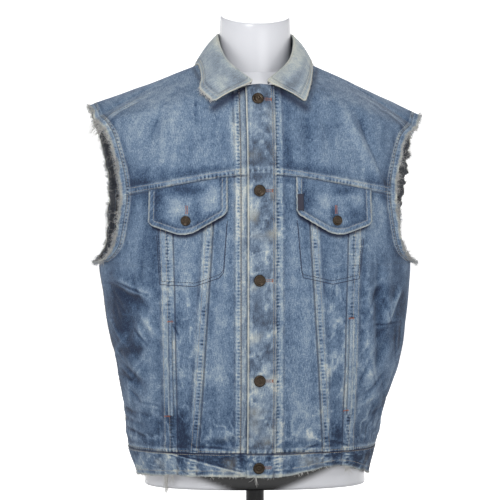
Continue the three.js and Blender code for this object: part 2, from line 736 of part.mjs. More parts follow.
// One loose lock: a slim three-sided spike from its root to its tip
function lock(root, tip, width) {
  const along = tip.clone().sub(root).normalize();
  const a = new THREE.Vector3(0.3, 0.5, 0.8).cross(along).normalize();
  const b = along.clone().cross(a);
  const corners = [0, 1, 2].map((i) => root.clone()
    .addScaledVector(a, width * Math.cos((i * 2 * Math.PI) / 3))
    .addScaledVector(b, width * Math.sin((i * 2 * Math.PI) / 3)));
  const positions = [...corners, tip].flatMap((p) => [p.x, p.y, p.z]);
  return facingOut(positions, [0, 2, 1, 0, 1, 3, 1, 2, 3, 2, 0, 3]);
}

// Repeatable spread of values between 0 and 1
const scatter = (i, seed) => Math.abs((Math.sin(i * 12.9898 + seed * 78.233) * 43758.5453) % 1);

function fringe(name, strip, locks) {
  const solid = locks.reduce((sum, piece) => sum.add(toSolid(piece)), toSolid(strip));
  addPiece(name, fromSolid(solid), { color: 0xc9bfae, roughness: 1, metalness: 0 });
}

function addCutSleeves() {
  for (const { word, sign } of sides) {
    const ring = armholeRing(sign);
    const stops = [2 * seamGap, stubWidth / 2, stubWidth];
    const sleeve = wall(ringGrid(ring, stops, 0), ringGrid(ring, stops, -doubled), true);
    addPiece(`cut_sleeve_${word}`, sleeve, denim);
    const start = stubWidth + seamGap;
    const ends = [start, start + frayWidth];
    const strip = wall(ringGrid(ring, ends, -0.3), ringGrid(ring, ends, -1.9), true);
    const locks = Array.from({ length: armholeStrands }, (_, i) => {
      const place = (i / armholeStrands) * ring.length;
      const a = ring[Math.floor(place)];
      const b = ring[(Math.floor(place) + 1) % ring.length];
      const mix = (key) => a[key].clone().lerp(b[key], place % 1);
      const middle = mix('point').addScaledVector(mix('normal'), -1.1);
      const root = middle.clone().addScaledVector(mix('away'), start + frayWidth * 0.45);
      const length = 4 + 8 * scatter(i, sign + 2);
      const tip = root.clone().addScaledVector(mix('away'), length);
      const bend = b.point.clone().sub(a.point).normalize().multiplyScalar(3 * (scatter(i, 7) - 0.5));
      tip.add(bend).add(new THREE.Vector3(0, 0, -3 * scatter(i, 9)));
      return lock(root, tip, 0.75);
    });
    fringe(`armhole_fray_${word}`, strip, locks);
  }
}

function addHemFray() {
  const count = 22;
  const around = [...even(count).map((t) => ['front', 2 * t - 1]),
    ...even(count).slice(1, -1).map((t) => ['back', 1 - 2 * t])];
  const at = (face, share, drop, lift) => {
    const level = face === 'front' ? frontHemLevel(share) : hemLevel(share);
    const point = clothPoint(face, share, level, lift);
    return point.setZ(point.z - drop);
  };
  const grid = (lift) => [seamGap, seamGap + frayWidth].map((drop) => around.map(([face, share]) => (
    at(face, share, drop, lift))));
  const locks = Array.from({ length: hemStrands }, (_, i) => {
    const turn = (i + 0.5) / hemStrands;
    const face = turn < 0.5 ? 'front' : 'back';
    const share = turn < 0.5 ? 4 * turn - 1 : 3 - 4 * turn;
    const root = at(face, share, seamGap + frayWidth * 0.5, -0.2);
    const tip = at(face, share, frayWidth + 3 + 6 * scatter(i, 3), 1.5 * scatter(i, 4));
    tip.x += 4 * (scatter(i, 5) - 0.5);
    return lock(root, tip, 0.75);
  });
  fringe('hem_fray', wall(grid(0.6), grid(-1), true), locks);
}

// Dress form: half width, and how far its front and back lie inside the vest
const formSizes = table(['level', 'half', 'front', 'back'], [
  [150, 166.5, 10, 8], [204, 164, 16, 18], [260, 166, 21, 24], [320, 172, 24, 26], [400, 180, 20, 22],
  [482, 186, 14, 15], [560, 188, 12, 12], [620, 188, 11, 11], [652, 190, 9, 9], [700, 194, 6, 7],
  [745, 199, 4, 6], [780, 202, 3, 4], [809, 203, 2, 2],
]);
const formLevels = [180, 220, 260, 300, 350, 400, 450, 500, 550, 594, ...yokeLevels, 807];
const formAcross = 20;

function formLoop(level, inset) {
  const size = formSizes(level);
  const rows = { front: sections.front(level), back: sections.back(level) };
  const sideZ = (rows.front.endZ + rows.back.endZ) / 2;
  const drop = (cloth + shoulderClearance) * THREE.MathUtils.smoothstep(level, 620, 700);
  const follows = THREE.MathUtils.smoothstep(level, 600, 690);
  const depthAt = (face, x) => {
    const row = rows[face];
    const cut = Math.min(size[face] + inset, Math.abs(row.centreY));
    const cosine = Math.cos(Math.asin((x / row.right) ** (power / 2)));
    return row.sideY + (row.centreY - Math.sign(row.centreY) * cut - row.sideY) * cosine ** (2 / power);
  };
  const pointOn = (face, share) => {
    const row = rows[face];
    const angle = (Math.abs(share) * Math.PI) / 2;
    const x = (size.half - inset) * Math.sin(angle) ** (2 / power);
    const round = row.sideY + (depthAt(face, 0) - row.sideY) * Math.max(Math.cos(angle), 0) ** (2 / power);
    const middle = (depthAt('front', x) + depthAt('back', x)) / 2;
    const nested = middle + (depthAt(face, x) - middle) * Math.sqrt(1 - Math.abs(share) ** 6);
    const y = THREE.MathUtils.lerp(round, nested, follows);
    const endZ = THREE.MathUtils.lerp(row.endZ, sideZ, Math.abs(share) ** 8);
    const z = level + (endZ - level) * (x / (row.right * row.endShare)) ** slopePower - drop;
    return new THREE.Vector3(Math.sign(share) * x, y, share < 0 ? z : z - droop(x, level));
  };
  const front = even(formAcross).map((t) => pointOn('front', 2 * t - 1));
  const back = even(formAcross).slice(1, -1).map((t) => pointOn('back', 1 - 2 * t));
  return [...front, ...back];
}

// Closed body through rings of points, its ends closed from side to side
function loft(loops) {
  const count = loops[0].length;
  const positions = loops.flat().flatMap((p) => [p.x, p.y, p.z]);
  const index = [];
  for (let j = 0; j < loops.length - 1; j += 1) {
    for (let i = 0; i < count; i += 1) {
      const a = j * count + i;
      const b = j * count + ((i + 1) % count);
      index.push(a, b, b + count, a, b + count, a + count);
    }
  }
  const close = (start, flip) => {
    for (let i = 0; i < count / 2; i += 1) {
      const [a, b] = [start + i, start + i + 1];
      const [c, d] = [start + ((count - i - 1) % count), start + ((count - i) % count)];
      const faces = [[a, b, c], [a, c, d]].filter((f) => new Set(f).size === 3);
      faces.forEach(([x, y, z]) => index.push(...(flip ? [x, z, y] : [x, y, z])));
    }
  };
  close(0, true);
  close((loops.length - 1) * count, false);
  return facingOut(positions, index);
}

function addDressForm() {
  const torso = loft([formLoop(formBottom, 5), formLoop(formBottom + 2, 1),
    ...formLevels.map((level) => formLoop(level, 0))]);
  const neckSides = 28;
  const neckLoop = (z, radius, tilt) => Array.from({ length: neckSides }, (_, i) => {
    const angle = (i / neckSides) * 2 * Math.PI;
    const [x, y] = [radius * Math.cos(angle), radius * Math.sin(angle)];
    return new THREE.Vector3(x, y, z + tilt * y);
  });
  const neck = loft([
    neckLoop(700, neckRadius.base, 0), neckLoop(784, neckRadius.base, 0),
    neckLoop(820, neckRadius.base - 0.4, neckTilt / 3), neckLoop(neckTop - 3, neckRadius.top + 0.4, neckTilt),
    neckLoop(neckTop - 1, neckRadius.top - 0.6, neckTilt), neckLoop(neckTop, neckRadius.top - 2.5, neckTilt),
  ]);
  addPiece('dress_form', fromSolid(toSolid(torso).add(toSolid(neck))), whiteGloss);
}

function addStand() {
  const pole = new THREE.CylinderGeometry(poleRadius, poleRadius, formBottom - baseHeight - 2 * seamGap, 24);
  pole.rotateX(Math.PI / 2);
  pole.translate(0, 0, (formBottom + baseHeight) / 2);
  addPiece('stand_pole', closedLathe(pole), blackSteel);
  const plate = new THREE.LatheGeometry([[0, 0], [baseRadius, 0], [baseRadius, baseHeight - 3],
    [baseRadius - 3, baseHeight], [0, baseHeight]].map(([r, h]) => new THREE.Vector2(r, h)), 48);
  plate.rotateX(Math.PI / 2);
  addPiece('stand_base', closedLathe(plate), blackSteel);
}

addFrontPanels();
addPlackets();
addBackPanels();
addWaistband();
addFlaps();
addFlapTab();
addWelts();
addButtons();
addCollar();
addCutSleeves();
addHemFray();
addDressForm();
addStand();

export default group;
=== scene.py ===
import json
import math

import bmesh
import bpy
import numpy as np
from mathutils import Matrix, Vector

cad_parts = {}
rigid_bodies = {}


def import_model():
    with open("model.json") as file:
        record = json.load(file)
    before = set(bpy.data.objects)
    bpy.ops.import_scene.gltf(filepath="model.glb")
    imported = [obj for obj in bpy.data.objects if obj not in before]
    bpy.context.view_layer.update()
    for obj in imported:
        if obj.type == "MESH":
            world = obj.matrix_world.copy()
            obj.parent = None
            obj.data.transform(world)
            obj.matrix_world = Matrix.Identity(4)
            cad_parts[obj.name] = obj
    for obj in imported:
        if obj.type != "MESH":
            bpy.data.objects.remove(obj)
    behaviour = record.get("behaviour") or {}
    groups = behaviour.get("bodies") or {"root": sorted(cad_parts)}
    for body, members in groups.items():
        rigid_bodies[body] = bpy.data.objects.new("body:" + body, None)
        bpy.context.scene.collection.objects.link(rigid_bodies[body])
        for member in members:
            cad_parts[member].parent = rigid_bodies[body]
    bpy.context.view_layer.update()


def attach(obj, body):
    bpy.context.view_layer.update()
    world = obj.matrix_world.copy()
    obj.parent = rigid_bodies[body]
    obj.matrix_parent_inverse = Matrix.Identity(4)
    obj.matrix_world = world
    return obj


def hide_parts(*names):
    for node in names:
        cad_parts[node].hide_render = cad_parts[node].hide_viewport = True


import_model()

mm = 0.001
random = np.random.default_rng(7)

# Camera first, so that the frame is settled: the photo's angle, through a long lens
camera = dict(distance=4.5, azimuth=-4.4, elevation=2.5, lens=216, target=(-0.0075, 0.0, 0.501))


def addCamera():
    turn = math.radians(camera["azimuth"])
    lift = math.radians(camera["elevation"])
    data = bpy.data.cameras.new("photoCamera")
    data.lens = camera["lens"]
    data.sensor_width = 36
    data.clip_end = 50
    eye = bpy.data.objects.new("photoCamera", data)
    away = Vector((math.sin(turn) * math.cos(lift), -math.cos(turn) * math.cos(lift), math.sin(lift)))
    eye.location = Vector(camera["target"]) + away * camera["distance"]
    eye.rotation_euler = (-away).to_track_quat("-Z", "Y").to_euler()
    bpy.context.scene.collection.objects.link(eye)
    bpy.context.scene.camera = eye


addCamera()
print("camera set")


# Smooth reading of a table of named columns, for whole arrays of levels at once
def makeTable(columns, rows):
    data = np.array(rows, float)
    at = data[:, 0]
    tracks = {}
    for c, name in enumerate(columns):
        values = data[:, c]
        rise = np.diff(values) / np.diff(at)
        slope = np.concatenate([[rise[0]], np.zeros(len(rise) - 1), [rise[-1]]])
        for i in range(1, len(rise)):
            if rise[i - 1] * rise[i] > 0:
                slope[i] = 2 * rise[i - 1] * rise[i] / (rise[i - 1] + rise[i])
        tracks[name] = (values, slope)

    def read(level):
        x = np.clip(np.asarray(level, float), at[0], at[-1])
        i = np.clip(np.searchsorted(at, x, side="right") - 1, 0, len(at) - 2)
        span = at[i + 1] - at[i]
        t = (x - at[i]) / span
        row = {}
        for name, (values, slope) in tracks.items():
            row[name] = ((1 + 2 * t) * (1 - t) ** 2 * values[i] + t * (1 - t) ** 2 * span * slope[i]
                         + t * t * (3 - 2 * t) * values[i + 1] + t * t * (t - 1) * span * slope[i + 1])
        if "endShare" in row:
            row["endShare"] = np.minimum(row["endShare"], 1)
        return row
    return read


# The worn vest's sections, in millimetres, as in the CAD model; below the armholes both faces share their sides
underarmRows = [
    (150, -106, 100, 3, 172, 170), (172, -110, 104, 3, 179, 173), (204, -116, 108, 4, 190, 181),
    (231, -121, 111, 4, 193, 187), (258, -125, 114, 4, 195, 193), (305, -129, 117, 4, 204, 209),
    (340, -130, 119, 4, 208, 219), (370, -130, 121, 4, 217, 225), (440, -130, 126, 4, 228, 232),
    (482, -130, 129, 4, 234, 234),
]
sectionColumns = ["level", "centreY", "sideY", "left", "right", "endZ", "endShare"]
sections = {
    "front": makeTable(sectionColumns, [
        [level, front, sideY, left, right, level, 1] for level, front, back, sideY, left, right in underarmRows] + [
        [485, -130, 4, 234, 234, 485, 0.975], [490, -130, 4, 234, 234, 490, 0.945],
        [498, -130, 4, 234, 234, 498, 0.913], [512, -130, 4, 234, 234, 512, 0.882],
        [538, -130, 4, 234, 234, 538, 0.858], [584, -129, 4, 233.5, 233.5, 584, 0.837],
        [605, -128, 4, 232, 232, 604, 0.845], [652, -123, 2, 230, 230, 640, 0.883],
        [700, -107, -4, 232, 232, 674, 0.914], [745, -87, -14, 237, 237, 692, 0.937],
        [780, -46, -25, 239, 239, 699, 0.954], [809, 0, -33, 240, 240, 702, 0.967]]),
    "back": makeTable(sectionColumns, [
        [level, back, sideY, left, right, level, 1] for level, front, back, sideY, left, right in underarmRows] + [
        [485, 129, 4, 234, 234, 485, 0.98], [490, 129, 4, 234, 234, 490, 0.957],
        [498, 130, 4, 234, 234, 498, 0.932], [512, 130, 4, 234, 234, 512, 0.908],
        [538, 130, 4, 234, 234, 538, 0.894], [600, 128, 4, 233, 233, 600, 0.888],
        [640, 122, 3, 231, 231, 636, 0.922], [680, 112, 2, 234, 234, 668, 0.944],
        [715, 100, 0, 238, 238, 690, 0.962], [745, 86, -2, 241, 241, 706, 0.971],
        [770, 72, -6, 244, 244, 716, 0.975], [790, 52, -13, 246, 246, 721, 0.976],
        [803, 24, -23, 243, 243, 714, 0.972], [809, 0, -33, 240, 240, 702, 0.967]]),
}
hemEnd = 150
armholeStart = 482
power = 2.2
slopePower = 1.25
shoulderLevel = 809
waistSeam = 208
shoulderDroop = dict(height=15, start=90, end=250, lowest=650, highest=770)


def smoothStep(value, low, high):
    t = np.clip((value - low) / (high - low), 0, 1)
    return t * t * (3 - 2 * t)


# The right shoulder hangs lower towards its end
def droop(x, level):
    out = np.maximum(x - shoulderDroop["start"], 0) / (shoulderDroop["end"] - shoulderDroop["start"])
    return shoulderDroop["height"] * out ** 2 * smoothStep(level, shoulderDroop["lowest"], shoulderDroop["highest"])


def bodyPoint(face, share, level):
    row = sections[face](level)
    width = np.where(share < 0, row["left"], row["right"])
    angle = np.abs(share) * np.arcsin(row["endShare"] ** (power / 2))
    x = width * np.abs(np.sin(angle)) ** (2 / power)
    y = row["sideY"] + (row["centreY"] - row["sideY"]) * np.maximum(np.cos(angle), 0) ** (2 / power)
    z = level + (row["endZ"] - level) * (x / (width * row["endShare"])) ** slopePower
    z = np.where(share < 0, z, z - droop(x, level))
    return np.stack([np.where(share < 0, -x, x), y, z], axis=-1)


def shareAt(face, x, level):
    row = sections[face](level)
    width = np.where(x < 0, row["left"], row["right"])
    angle = np.arcsin(np.minimum(np.abs(x) / width, 1) ** (power / 2))
    return np.sign(x) * angle / np.arcsin(row["endShare"] ** (power / 2))


def levelAt(face, x, z):
    low = np.full(np.shape(z), float(hemEnd))
    high = np.full(np.shape(z), float(shoulderLevel if face == "front" else 790))
    for _ in range(30):
        middle = (low + high) / 2
        under = bodyPoint(face, shareAt(face, x, middle), middle)[..., 2] < z
        low = np.where(under, middle, low)
        high = np.where(under, high, middle)
    return (low + high) / 2


def unit(vectors):
    return vectors / np.maximum(np.linalg.norm(vectors, axis=-1, keepdims=True), 1e-9)


def rawNormal(face, share, level):
    low = np.maximum(level - 0.5, hemEnd)
    high = np.minimum(level + 0.5, shoulderLevel)
    side = np.where(share < 0, -1.0, 1.0)
    near = np.maximum(np.abs(share) - 0.004, 0.001)
    far = np.minimum(np.abs(share) + 0.004, 1)
    across = bodyPoint(face, side * far, level) - bodyPoint(face, side * near, level)
    up = bodyPoint(face, share, high) - bodyPoint(face, share, low)
    normal = unit(np.cross(across, up))
    normal[..., 0] *= np.minimum(np.abs(share) / 0.02, 1)
    point = bodyPoint(face, share, level)
    inside = np.stack([0.6 * point[..., 0], 0 * point[..., 0], point[..., 2] - 80], axis=-1)
    flip = np.sum(normal * (point - inside), axis=-1, keepdims=True) < 0
    return unit(np.where(flip, -normal, normal))


def bodyNormal(face, share, level):
    share = np.asarray(share, float)
    level = np.asarray(level, float) + 0 * share
    near = smoothStep(level, shoulderLevel - 22, shoulderLevel)[..., None]
    top = 0 * level + shoulderLevel
    shared = unit(rawNormal("front", share, top) + rawNormal("back", share, top))
    return unit(rawNormal(face, share, level) * (1 - near) + shared * near)


def bodySurface(face, share, level):
    return bodyPoint(face, share, level), bodyNormal(face, share, level)


# Repeatable soft noise on whole arrays of points, from -1 to 1
def softNoise(points, size, seed):
    p = np.asarray(points, float) / size + seed * 17.31
    cell = np.floor(p).astype(np.int64)
    f = p - cell
    f = f * f * (3 - 2 * f)
    total = np.zeros(p.shape[:-1])
    for corner in range(8):
        step = np.array([corner & 1, (corner >> 1) & 1, (corner >> 2) & 1])
        c = cell + step
        h = (c[..., 0] * 73856093) ^ (c[..., 1] * 19349663) ^ (c[..., 2] * 83492791) ^ (seed * 2654435)
        h = ((h ^ (h >> 13)) & 0x7FFFFFF) * 1274126177 & 0x7FFFFFFF
        value = (h % 10007) / 5003.5 - 1
        weight = np.prod(np.where(step == 1, f, 1 - f), axis=-1)
        total += value * weight
    return total


def layeredNoise(points, size, seed, layers=3):
    return sum(softNoise(points, size / 2 ** i, seed + i) / 2 ** i for i in range(layers)) / 1.6


def namedRows(columns, rows):
    return [dict(zip(columns, row)) for row in rows]


def faceRows(columns, rows):
    return [dict(row, face=face) for face in rows for row in namedRows(columns, rows[face])]


# Main creases: ends on the cloth, half width and height in millimetres, as in the CAD model
creaseColumns = ["x0", "z0", "x1", "z1", "width", "height"]
mainCreases = faceRows(creaseColumns, {
    "front": [
        (-212, 462, -168, 440, 9, 4.5), (-208, 445, -172, 424, 8, -5), (-200, 372, -186, 410, 13, -6),
        (-178, 330, -158, 366, 9, 4), (-198, 352, -170, 318, 9, 4.5), (-196, 334, -172, 300, 8, -4),
        (-160, 300, -178, 262, 9, 3.5), (158, 480, 166, 300, 9, 4), (174, 486, 178, 330, 8, -5),
        (190, 470, 192, 350, 9, 4), (200, 400, 176, 330, 9, -4), (168, 300, 186, 262, 8, 3.5),
        (-146, 712, -164, 664, 9, -4), (-122, 718, -140, 640, 10, 3), (122, 714, 182, 598, 9, 4),
        (146, 708, 170, 640, 8, -4), (66, 706, 70, 622, 8, -3.5), (84, 700, 88, 640, 8, 3),
        (-46, 712, -34, 628, 7, 3), (-60, 700, -52, 630, 8, -2.5), (-72, 232, -30, 240, 6, 3),
        (-80, 218, -34, 224, 6, -3), (40, 236, 84, 226, 6, 2.5), (46, 470, 58, 300, 12, -2.5),
        (-46, 440, -52, 260, 12, -2.5), (150, 250, 178, 226, 7, -3), (-150, 246, -176, 230, 7, 3),
    ],
    "back": [
        (-206, 460, -150, 420, 10, 4.5), (-196, 436, -140, 398, 9, -5), (206, 452, 148, 430, 10, 4),
        (200, 428, 150, 408, 9, -4.5), (-188, 350, -176, 268, 10, -4.5), (-164, 366, -158, 250, 10, 4),
        (186, 340, 172, 262, 10, -4.5), (160, 360, 150, 244, 10, 3.5), (-60, 300, -20, 236, 12, 3),
        (30, 320, 44, 232, 12, -3), (86, 290, 92, 226, 9, 3), (-110, 282, -104, 226, 9, -3),
        (-160, 690, -180, 612, 10, -4), (158, 694, 182, 622, 10, 4), (-90, 700, -60, 640, 14, 2.5),
        (60, 690, 84, 630, 12, -2.5), (-150, 560, -120, 470, 12, 3.5), (140, 570, 118, 460, 12, -3.5),
    ],
})


def creasePaths(rows, steps=4):
    t = np.linspace(0, 1, steps + 1)
    paths = []
    for crease in rows:
        x = crease["x0"] + (crease["x1"] - crease["x0"]) * t
        level = levelAt(crease["face"], x, crease["z0"] + (crease["z1"] - crease["z0"]) * t)
        crease["path"] = bodyPoint(crease["face"], shareAt(crease["face"], x, level), level)
        paths.append(crease)
    return paths


# Small wrinkles, scattered where the cloth is slack: area, how many, direction in radians and size
wrinkleColumns = ["x0", "x1", "z0", "z1", "count", "turn", "length", "height"]
wrinkleAreas = faceRows(wrinkleColumns, {
    "front": [
        (-210, -154, 226, 476, 24, 2.3, 40, 2.3), (154, 210, 226, 476, 24, 1.2, 44, 2.2),
        (-124, -92, 214, 460, 12, 1.1, 26, 0.9), (92, 124, 214, 460, 12, 2.0, 26, 0.9),
        (-88, -40, 214, 250, 7, 0.3, 22, 1.2), (40, 88, 214, 250, 7, -0.3, 22, 1.2),
        (-190, -60, 630, 700, 6, 1.5, 40, 0.5), (60, 190, 630, 700, 6, 1.6, 44, 0.6),
    ],
    "back": [
        (-205, -110, 226, 480, 12, 1.0, 44, 1.6), (110, 205, 226, 480, 12, 2.1, 44, 1.6),
        (-80, 80, 220, 560, 10, 1.5, 60, 1.0),
    ],
})


def scatterWrinkles():
    rows = []
    for area in wrinkleAreas:
        for i in range(area["count"]):
            x, z = random.uniform(area["x0"], area["x1"]), random.uniform(area["z0"], area["z1"])
            turn = random.normal(area["turn"], 0.45)
            half = area["length"] * random.uniform(0.3, 0.7)
            dx, dz = half * math.cos(turn), half * math.sin(turn)
            high = area["height"] * random.uniform(0.5, 1) * (-1 if i % 2 else 1)
            ends = (x - dx, z - dz, x + dx, z + dz, random.uniform(2.6, 5), high)
            rows.append(dict(zip(creaseColumns, ends), face=area["face"]))
    return rows


wrinkles = creasePaths(scatterWrinkles())
creases = creasePaths(mainCreases) + wrinkles


def creaseHeight(points, rows):
    flat = points.reshape(-1, 3)
    total = np.zeros(len(flat))
    for crease in rows:
        path = crease["path"]
        reach = 3 * crease["width"]
        low = path.min(axis=0) - reach
        high = path.max(axis=0) + reach
        near = np.where(np.all((flat > low) & (flat < high), axis=1))[0]
        if not len(near):
            continue
        p = flat[near]
        best = np.full(len(near), 1e9)
        along = np.zeros(len(near))
        for i in range(len(path) - 1):
            step = path[i + 1] - path[i]
            t = np.clip((p - path[i]) @ step / (step @ step), 0, 1)
            distance = np.linalg.norm(p - path[i] - t[:, None] * step, axis=1)
            closer = distance < best
            best = np.where(closer, distance, best)
            along = np.where(closer, (i + t) / (len(path) - 1), along)
        fade = np.sin(np.pi * (0.12 + 0.76 * along))
        total[near] += crease["height"] * fade * np.exp(-((best / crease["width"]) ** 2))
    return total.reshape(points.shape[:-1])


print("cloth surface ready")


# The cut: seams as levels, as distances across, or as shares of the half section
yokeTable = makeTable(["x", "level"], [[0, 620], [65, 612], [115, 603], [160, 594], [200, 586]])
neckTables = {
    "front": makeTable(["level", "x"], [[600, 0], [748, 0], [752, 26], [762, 50], [778, 69], [809, 86]]),
    "back": makeTable(["level", "x"], [[600, 0], [784, 0], [786, 32], [792, 58], [800, 76], [809, 86]]),
}
seams = dict(innerAtWaist=93, innerAtPocket=74, outerAtWaist=130, outerAtPocket=137, pocketLevel=510)


def yokeLevel(share):
    return yokeTable(np.abs(bodyPoint("front", share, 600 + 0 * share)[..., 0]))["level"]


def backYokeLevel(share):
    return 604 - 10 * share ** 2


def hemLevel(face, share):
    level = 173 - 8 * share ** 2
    if face == "front":
        level = level + 13 * bell(share - 0.44, 0.24) * (1 - share ** 8)
    return level


def vSeam(which, level):
    t = (level - waistSeam) / (seams["pocketLevel"] - waistSeam)
    return seams[which + "AtWaist"] + (seams[which + "AtPocket"] - seams[which + "AtWaist"]) * t


def backSeam(level):
    return 92 + 22 * (level - waistSeam) / 400


# Lengths along the cloth, for distances from a side seam and for flat coordinates
girthLevels = np.arange(150.0, 810, 3)
halfGirths, armholeLengths = {}, {}
for face in sections:
    ring = bodyPoint(face, np.linspace(0, 1, 50)[None, :] + 0 * girthLevels[:, None],
                     girthLevels[:, None] + np.zeros((1, 50)))
    halfGirths[face] = np.linalg.norm(np.diff(ring, axis=1), axis=2).sum(axis=1)
    edge = np.linalg.norm(np.diff(ring[:, -1], axis=0), axis=1)
    armholeLengths[face] = np.concatenate([[0], np.cumsum(edge)])


def halfGirth(face, level):
    return np.interp(level, girthLevels, halfGirths[face])


def alongEdge(face, level):
    return np.interp(level, girthLevels, armholeLengths[face])


def bell(value, width):
    return np.exp(-((value / width) ** 2))


def waver(along, seed, size=26):
    flat = np.stack([along, 0 * along + 3.7, 0 * along + seed * 9.1], axis=-1)
    return softNoise(flat, size, seed)


# Felled and topstitched seams pucker: a worn pale band with dark ticks between its two rows of stitches
ladder = dict(period=5.3, height=0.3, pale=0.19, tick=0.62, reach=6)


def rungs(distance, along, seed, inner=-2, outer=11):
    wave = np.sin(2 * np.pi * (along / ladder["period"] + 0.5 * waver(along, seed)))
    wave = wave * (0.75 + 0.6 * waver(along, seed + 3, 17))
    beyond = np.maximum(np.maximum(inner - distance, distance - outer), 0)
    return wave * bell(beyond, ladder["reach"])


def ticks(distance, along, seed, inner, outer):
    wave = rungs(distance, along, seed, inner, outer)
    middle = (inner + outer) / 2 + 0.8 * waver(along, seed + 9, 12)
    inBand = bell(distance - middle, (outer - inner) * 0.58) * (1 + 0.5 * waver(along, seed + 4, 30))
    tick = smoothStep(-wave, 0.05, 0.6) * bell(distance - middle, 2.5) * (0.8 + 0.6 * waver(along, seed + 8, 9))
    return ladder["pale"] * inBand - ladder["tick"] * tick + 0.03 * wave


# Fastening strips: the right one lies outside the left one
placket = dict(inner=-21, outer=21.5, underEdge=-33, underInner=12, lift=2.8, top=748)


# Each line: distance from it, distance along it, its seed, where it is on, and its band's inner and outer edge
def seamLines(face, share, level, point):
    x = np.abs(point[..., 0])
    across = share * halfGirth(face, level)
    fromSide = (1 - np.abs(share)) * halfGirth(face, level)
    belowYoke = 1 - smoothStep(level - (yokeLevel(share) if face == "front" else backYokeLevel(share)), -2, 6)
    seed = np.where(point[..., 0] < 0, 0.0, 140.0)
    armhole = smoothStep(level, armholeStart - 4, armholeStart + 4)
    lines = []
    if face == "front":
        lines.append((x - vSeam("inner", level), level + seed, 11, belowYoke, -2, 11))
        lines.append((x - vSeam("outer", level), level + 71 + seed, 12, belowYoke, -9, 9))
        lines.append((level - yokeLevel(share), across, 13, 1 + 0 * x, -2, 9))
        opening = 1 - smoothStep(level, 752, 762)
        lines.append((point[..., 0] - placket["outer"], level + 30, 14, opening, -4, 8))
        lines.append((placket["underEdge"] - point[..., 0], level + 50, 15, opening, -3, 4))
        top = bodyPoint(face, share, shoulderLevel + 0 * level)
        lines.append((np.linalg.norm(point - top, axis=-1), across, 22, smoothStep(np.abs(share), 0.45, 0.7), 15, 26))
    else:
        lines.append((backSeam(level) - x, level + seed, 16, belowYoke, -2, 11))
        lines.append((level - backYokeLevel(share), across, 17, 1 + 0 * x, -2, 9))
    lines.append((level - waistSeam, across + 300, 18, 1 + 0 * x, -2, 5))
    lines.append((fromSide, alongEdge(face, level) + seed, 19, armhole, -2, 9))
    lines.append((fromSide, level + seed, 20, 1 - armhole, -2, 7 if face == "back" else 1))
    return lines


# Outline of the pocket flaps
flap = dict(inner=50, outer=162, point=110, innerLow=560, pointLow=525, outerLow=543, lift=1.1, swell=3.0,
            thickness=2.2, belowYoke=0.6, creased=0.6, slope=0.93)


def flapLow(x):
    inward = (x - flap["inner"]) / (flap["point"] - flap["inner"])
    outward = (x - flap["point"]) / (flap["outer"] - flap["point"])
    turn = np.where(x < flap["point"], flap["innerLow"] + inward * (flap["pointLow"] - flap["innerLow"]),
                    flap["pointLow"] + outward * (flap["outerLow"] - flap["pointLow"]))
    soft = 3.5 * bell(x - flap["point"], 7)
    return turn + soft + 4 * bell(x - flap["inner"], 3) + 4 * bell(x - flap["outer"], 3)


# Close shade on the cloth under overhanging edges: ends in x and z, half width and depth
shadeColumns = ["x0", "z0", "x1", "z1", "width", "amount"]
shades = namedRows(shadeColumns, [
    (14, 748, 68, 714, 6.5, 0.85), (-14, 748, -68, 714, 6.5, 0.85), (70, 716, 92, 772, 3.2, 0.6),
    (-70, 716, -92, 772, 3.2, 0.6), (-22, 744, -38, 732, 5, 1.0),
])


def fromLine(x, z, line):
    dx, dz = line["x1"] - line["x0"], line["z1"] - line["z0"]
    t = np.clip(((x - line["x0"]) * dx + (z - line["z0"]) * dz) / (dx ** 2 + dz ** 2), 0, 1)
    across = ((x - line["x0"]) * dz - (z - line["z0"]) * dx) / math.hypot(dx, dz)
    return np.hypot(x - line["x0"] - t * dx, z - line["z0"] - t * dz), t, across


# Sharp little folds of the front that the photo shows: ends and how dark
foldLines = namedRows(["x0", "z0", "x1", "z1", "amount"], [
    (-210, 458, -164, 439, 0.34), (-219, 402, -190, 406, 0.24), (-188, 390, -164, 364, 0.22),
    (-164, 348, -193, 307, 0.2), (-203, 326, -188, 309, 0.26), (-195, 239, -167, 229, 0.26),
    (-177, 281, -141, 274, 0.16), (-129, 396, -119, 377, 0.26),
    (-90, 217, -24, 211, 0.3), (-118, 226, -88, 214, 0.24), (154, 363, 175, 301, 0.22), (167, 393, 214, 396, 0.2),
    (194, 291, 211, 334, 0.2), (157, 241, 171, 274, 0.2), (64, 211, 84, 219, 0.3), (102, 225, 133, 215, 0.3),
    (181, 439, 197, 396, 0.22), (211, 352, 215, 396, 0.2), (-144, 716, -161, 672, 0.14), (-94, 734, -94, 683, 0.16),
    (149, 696, 180, 613, 0.14), (112, 470, 104, 430, 0.16),
])


def foldLook(point):
    total = np.zeros(point.shape[:-1])
    for line in foldLines:
        away, t, across = fromLine(point[..., 0], point[..., 2], line)
        taper = np.sin(np.pi * (0.1 + 0.8 * t)) * line["amount"]
        # Painted shade in each fold and a painted highlight on the raised rims beside it
        total += taper * (0.6 * bell(np.hypot(away, 1.2 * (across < 0)) - 3.6, 2.2) - bell(away, 1.9))
    return total


# Painted shade on the cloth just below the pocket flaps' lower edges and the collar's edges
def shadeUnderEdges(point):
    x, z = np.abs(point[..., 0]), point[..., 2]
    below = flapLow(x) - z
    inside = (smoothStep(x, flap["inner"] - 1, flap["inner"] + 3)
              * (1 - smoothStep(x, flap["outer"] - 2, flap["outer"] + 2)))
    total = 0.95 * inside * smoothStep(below, -8, -2) * (1 - smoothStep(below, 2, 8))
    for line in shades:
        total = np.maximum(total, line["amount"] * bell(fromLine(point[..., 0], z, line)[0], line["width"]))
    return total
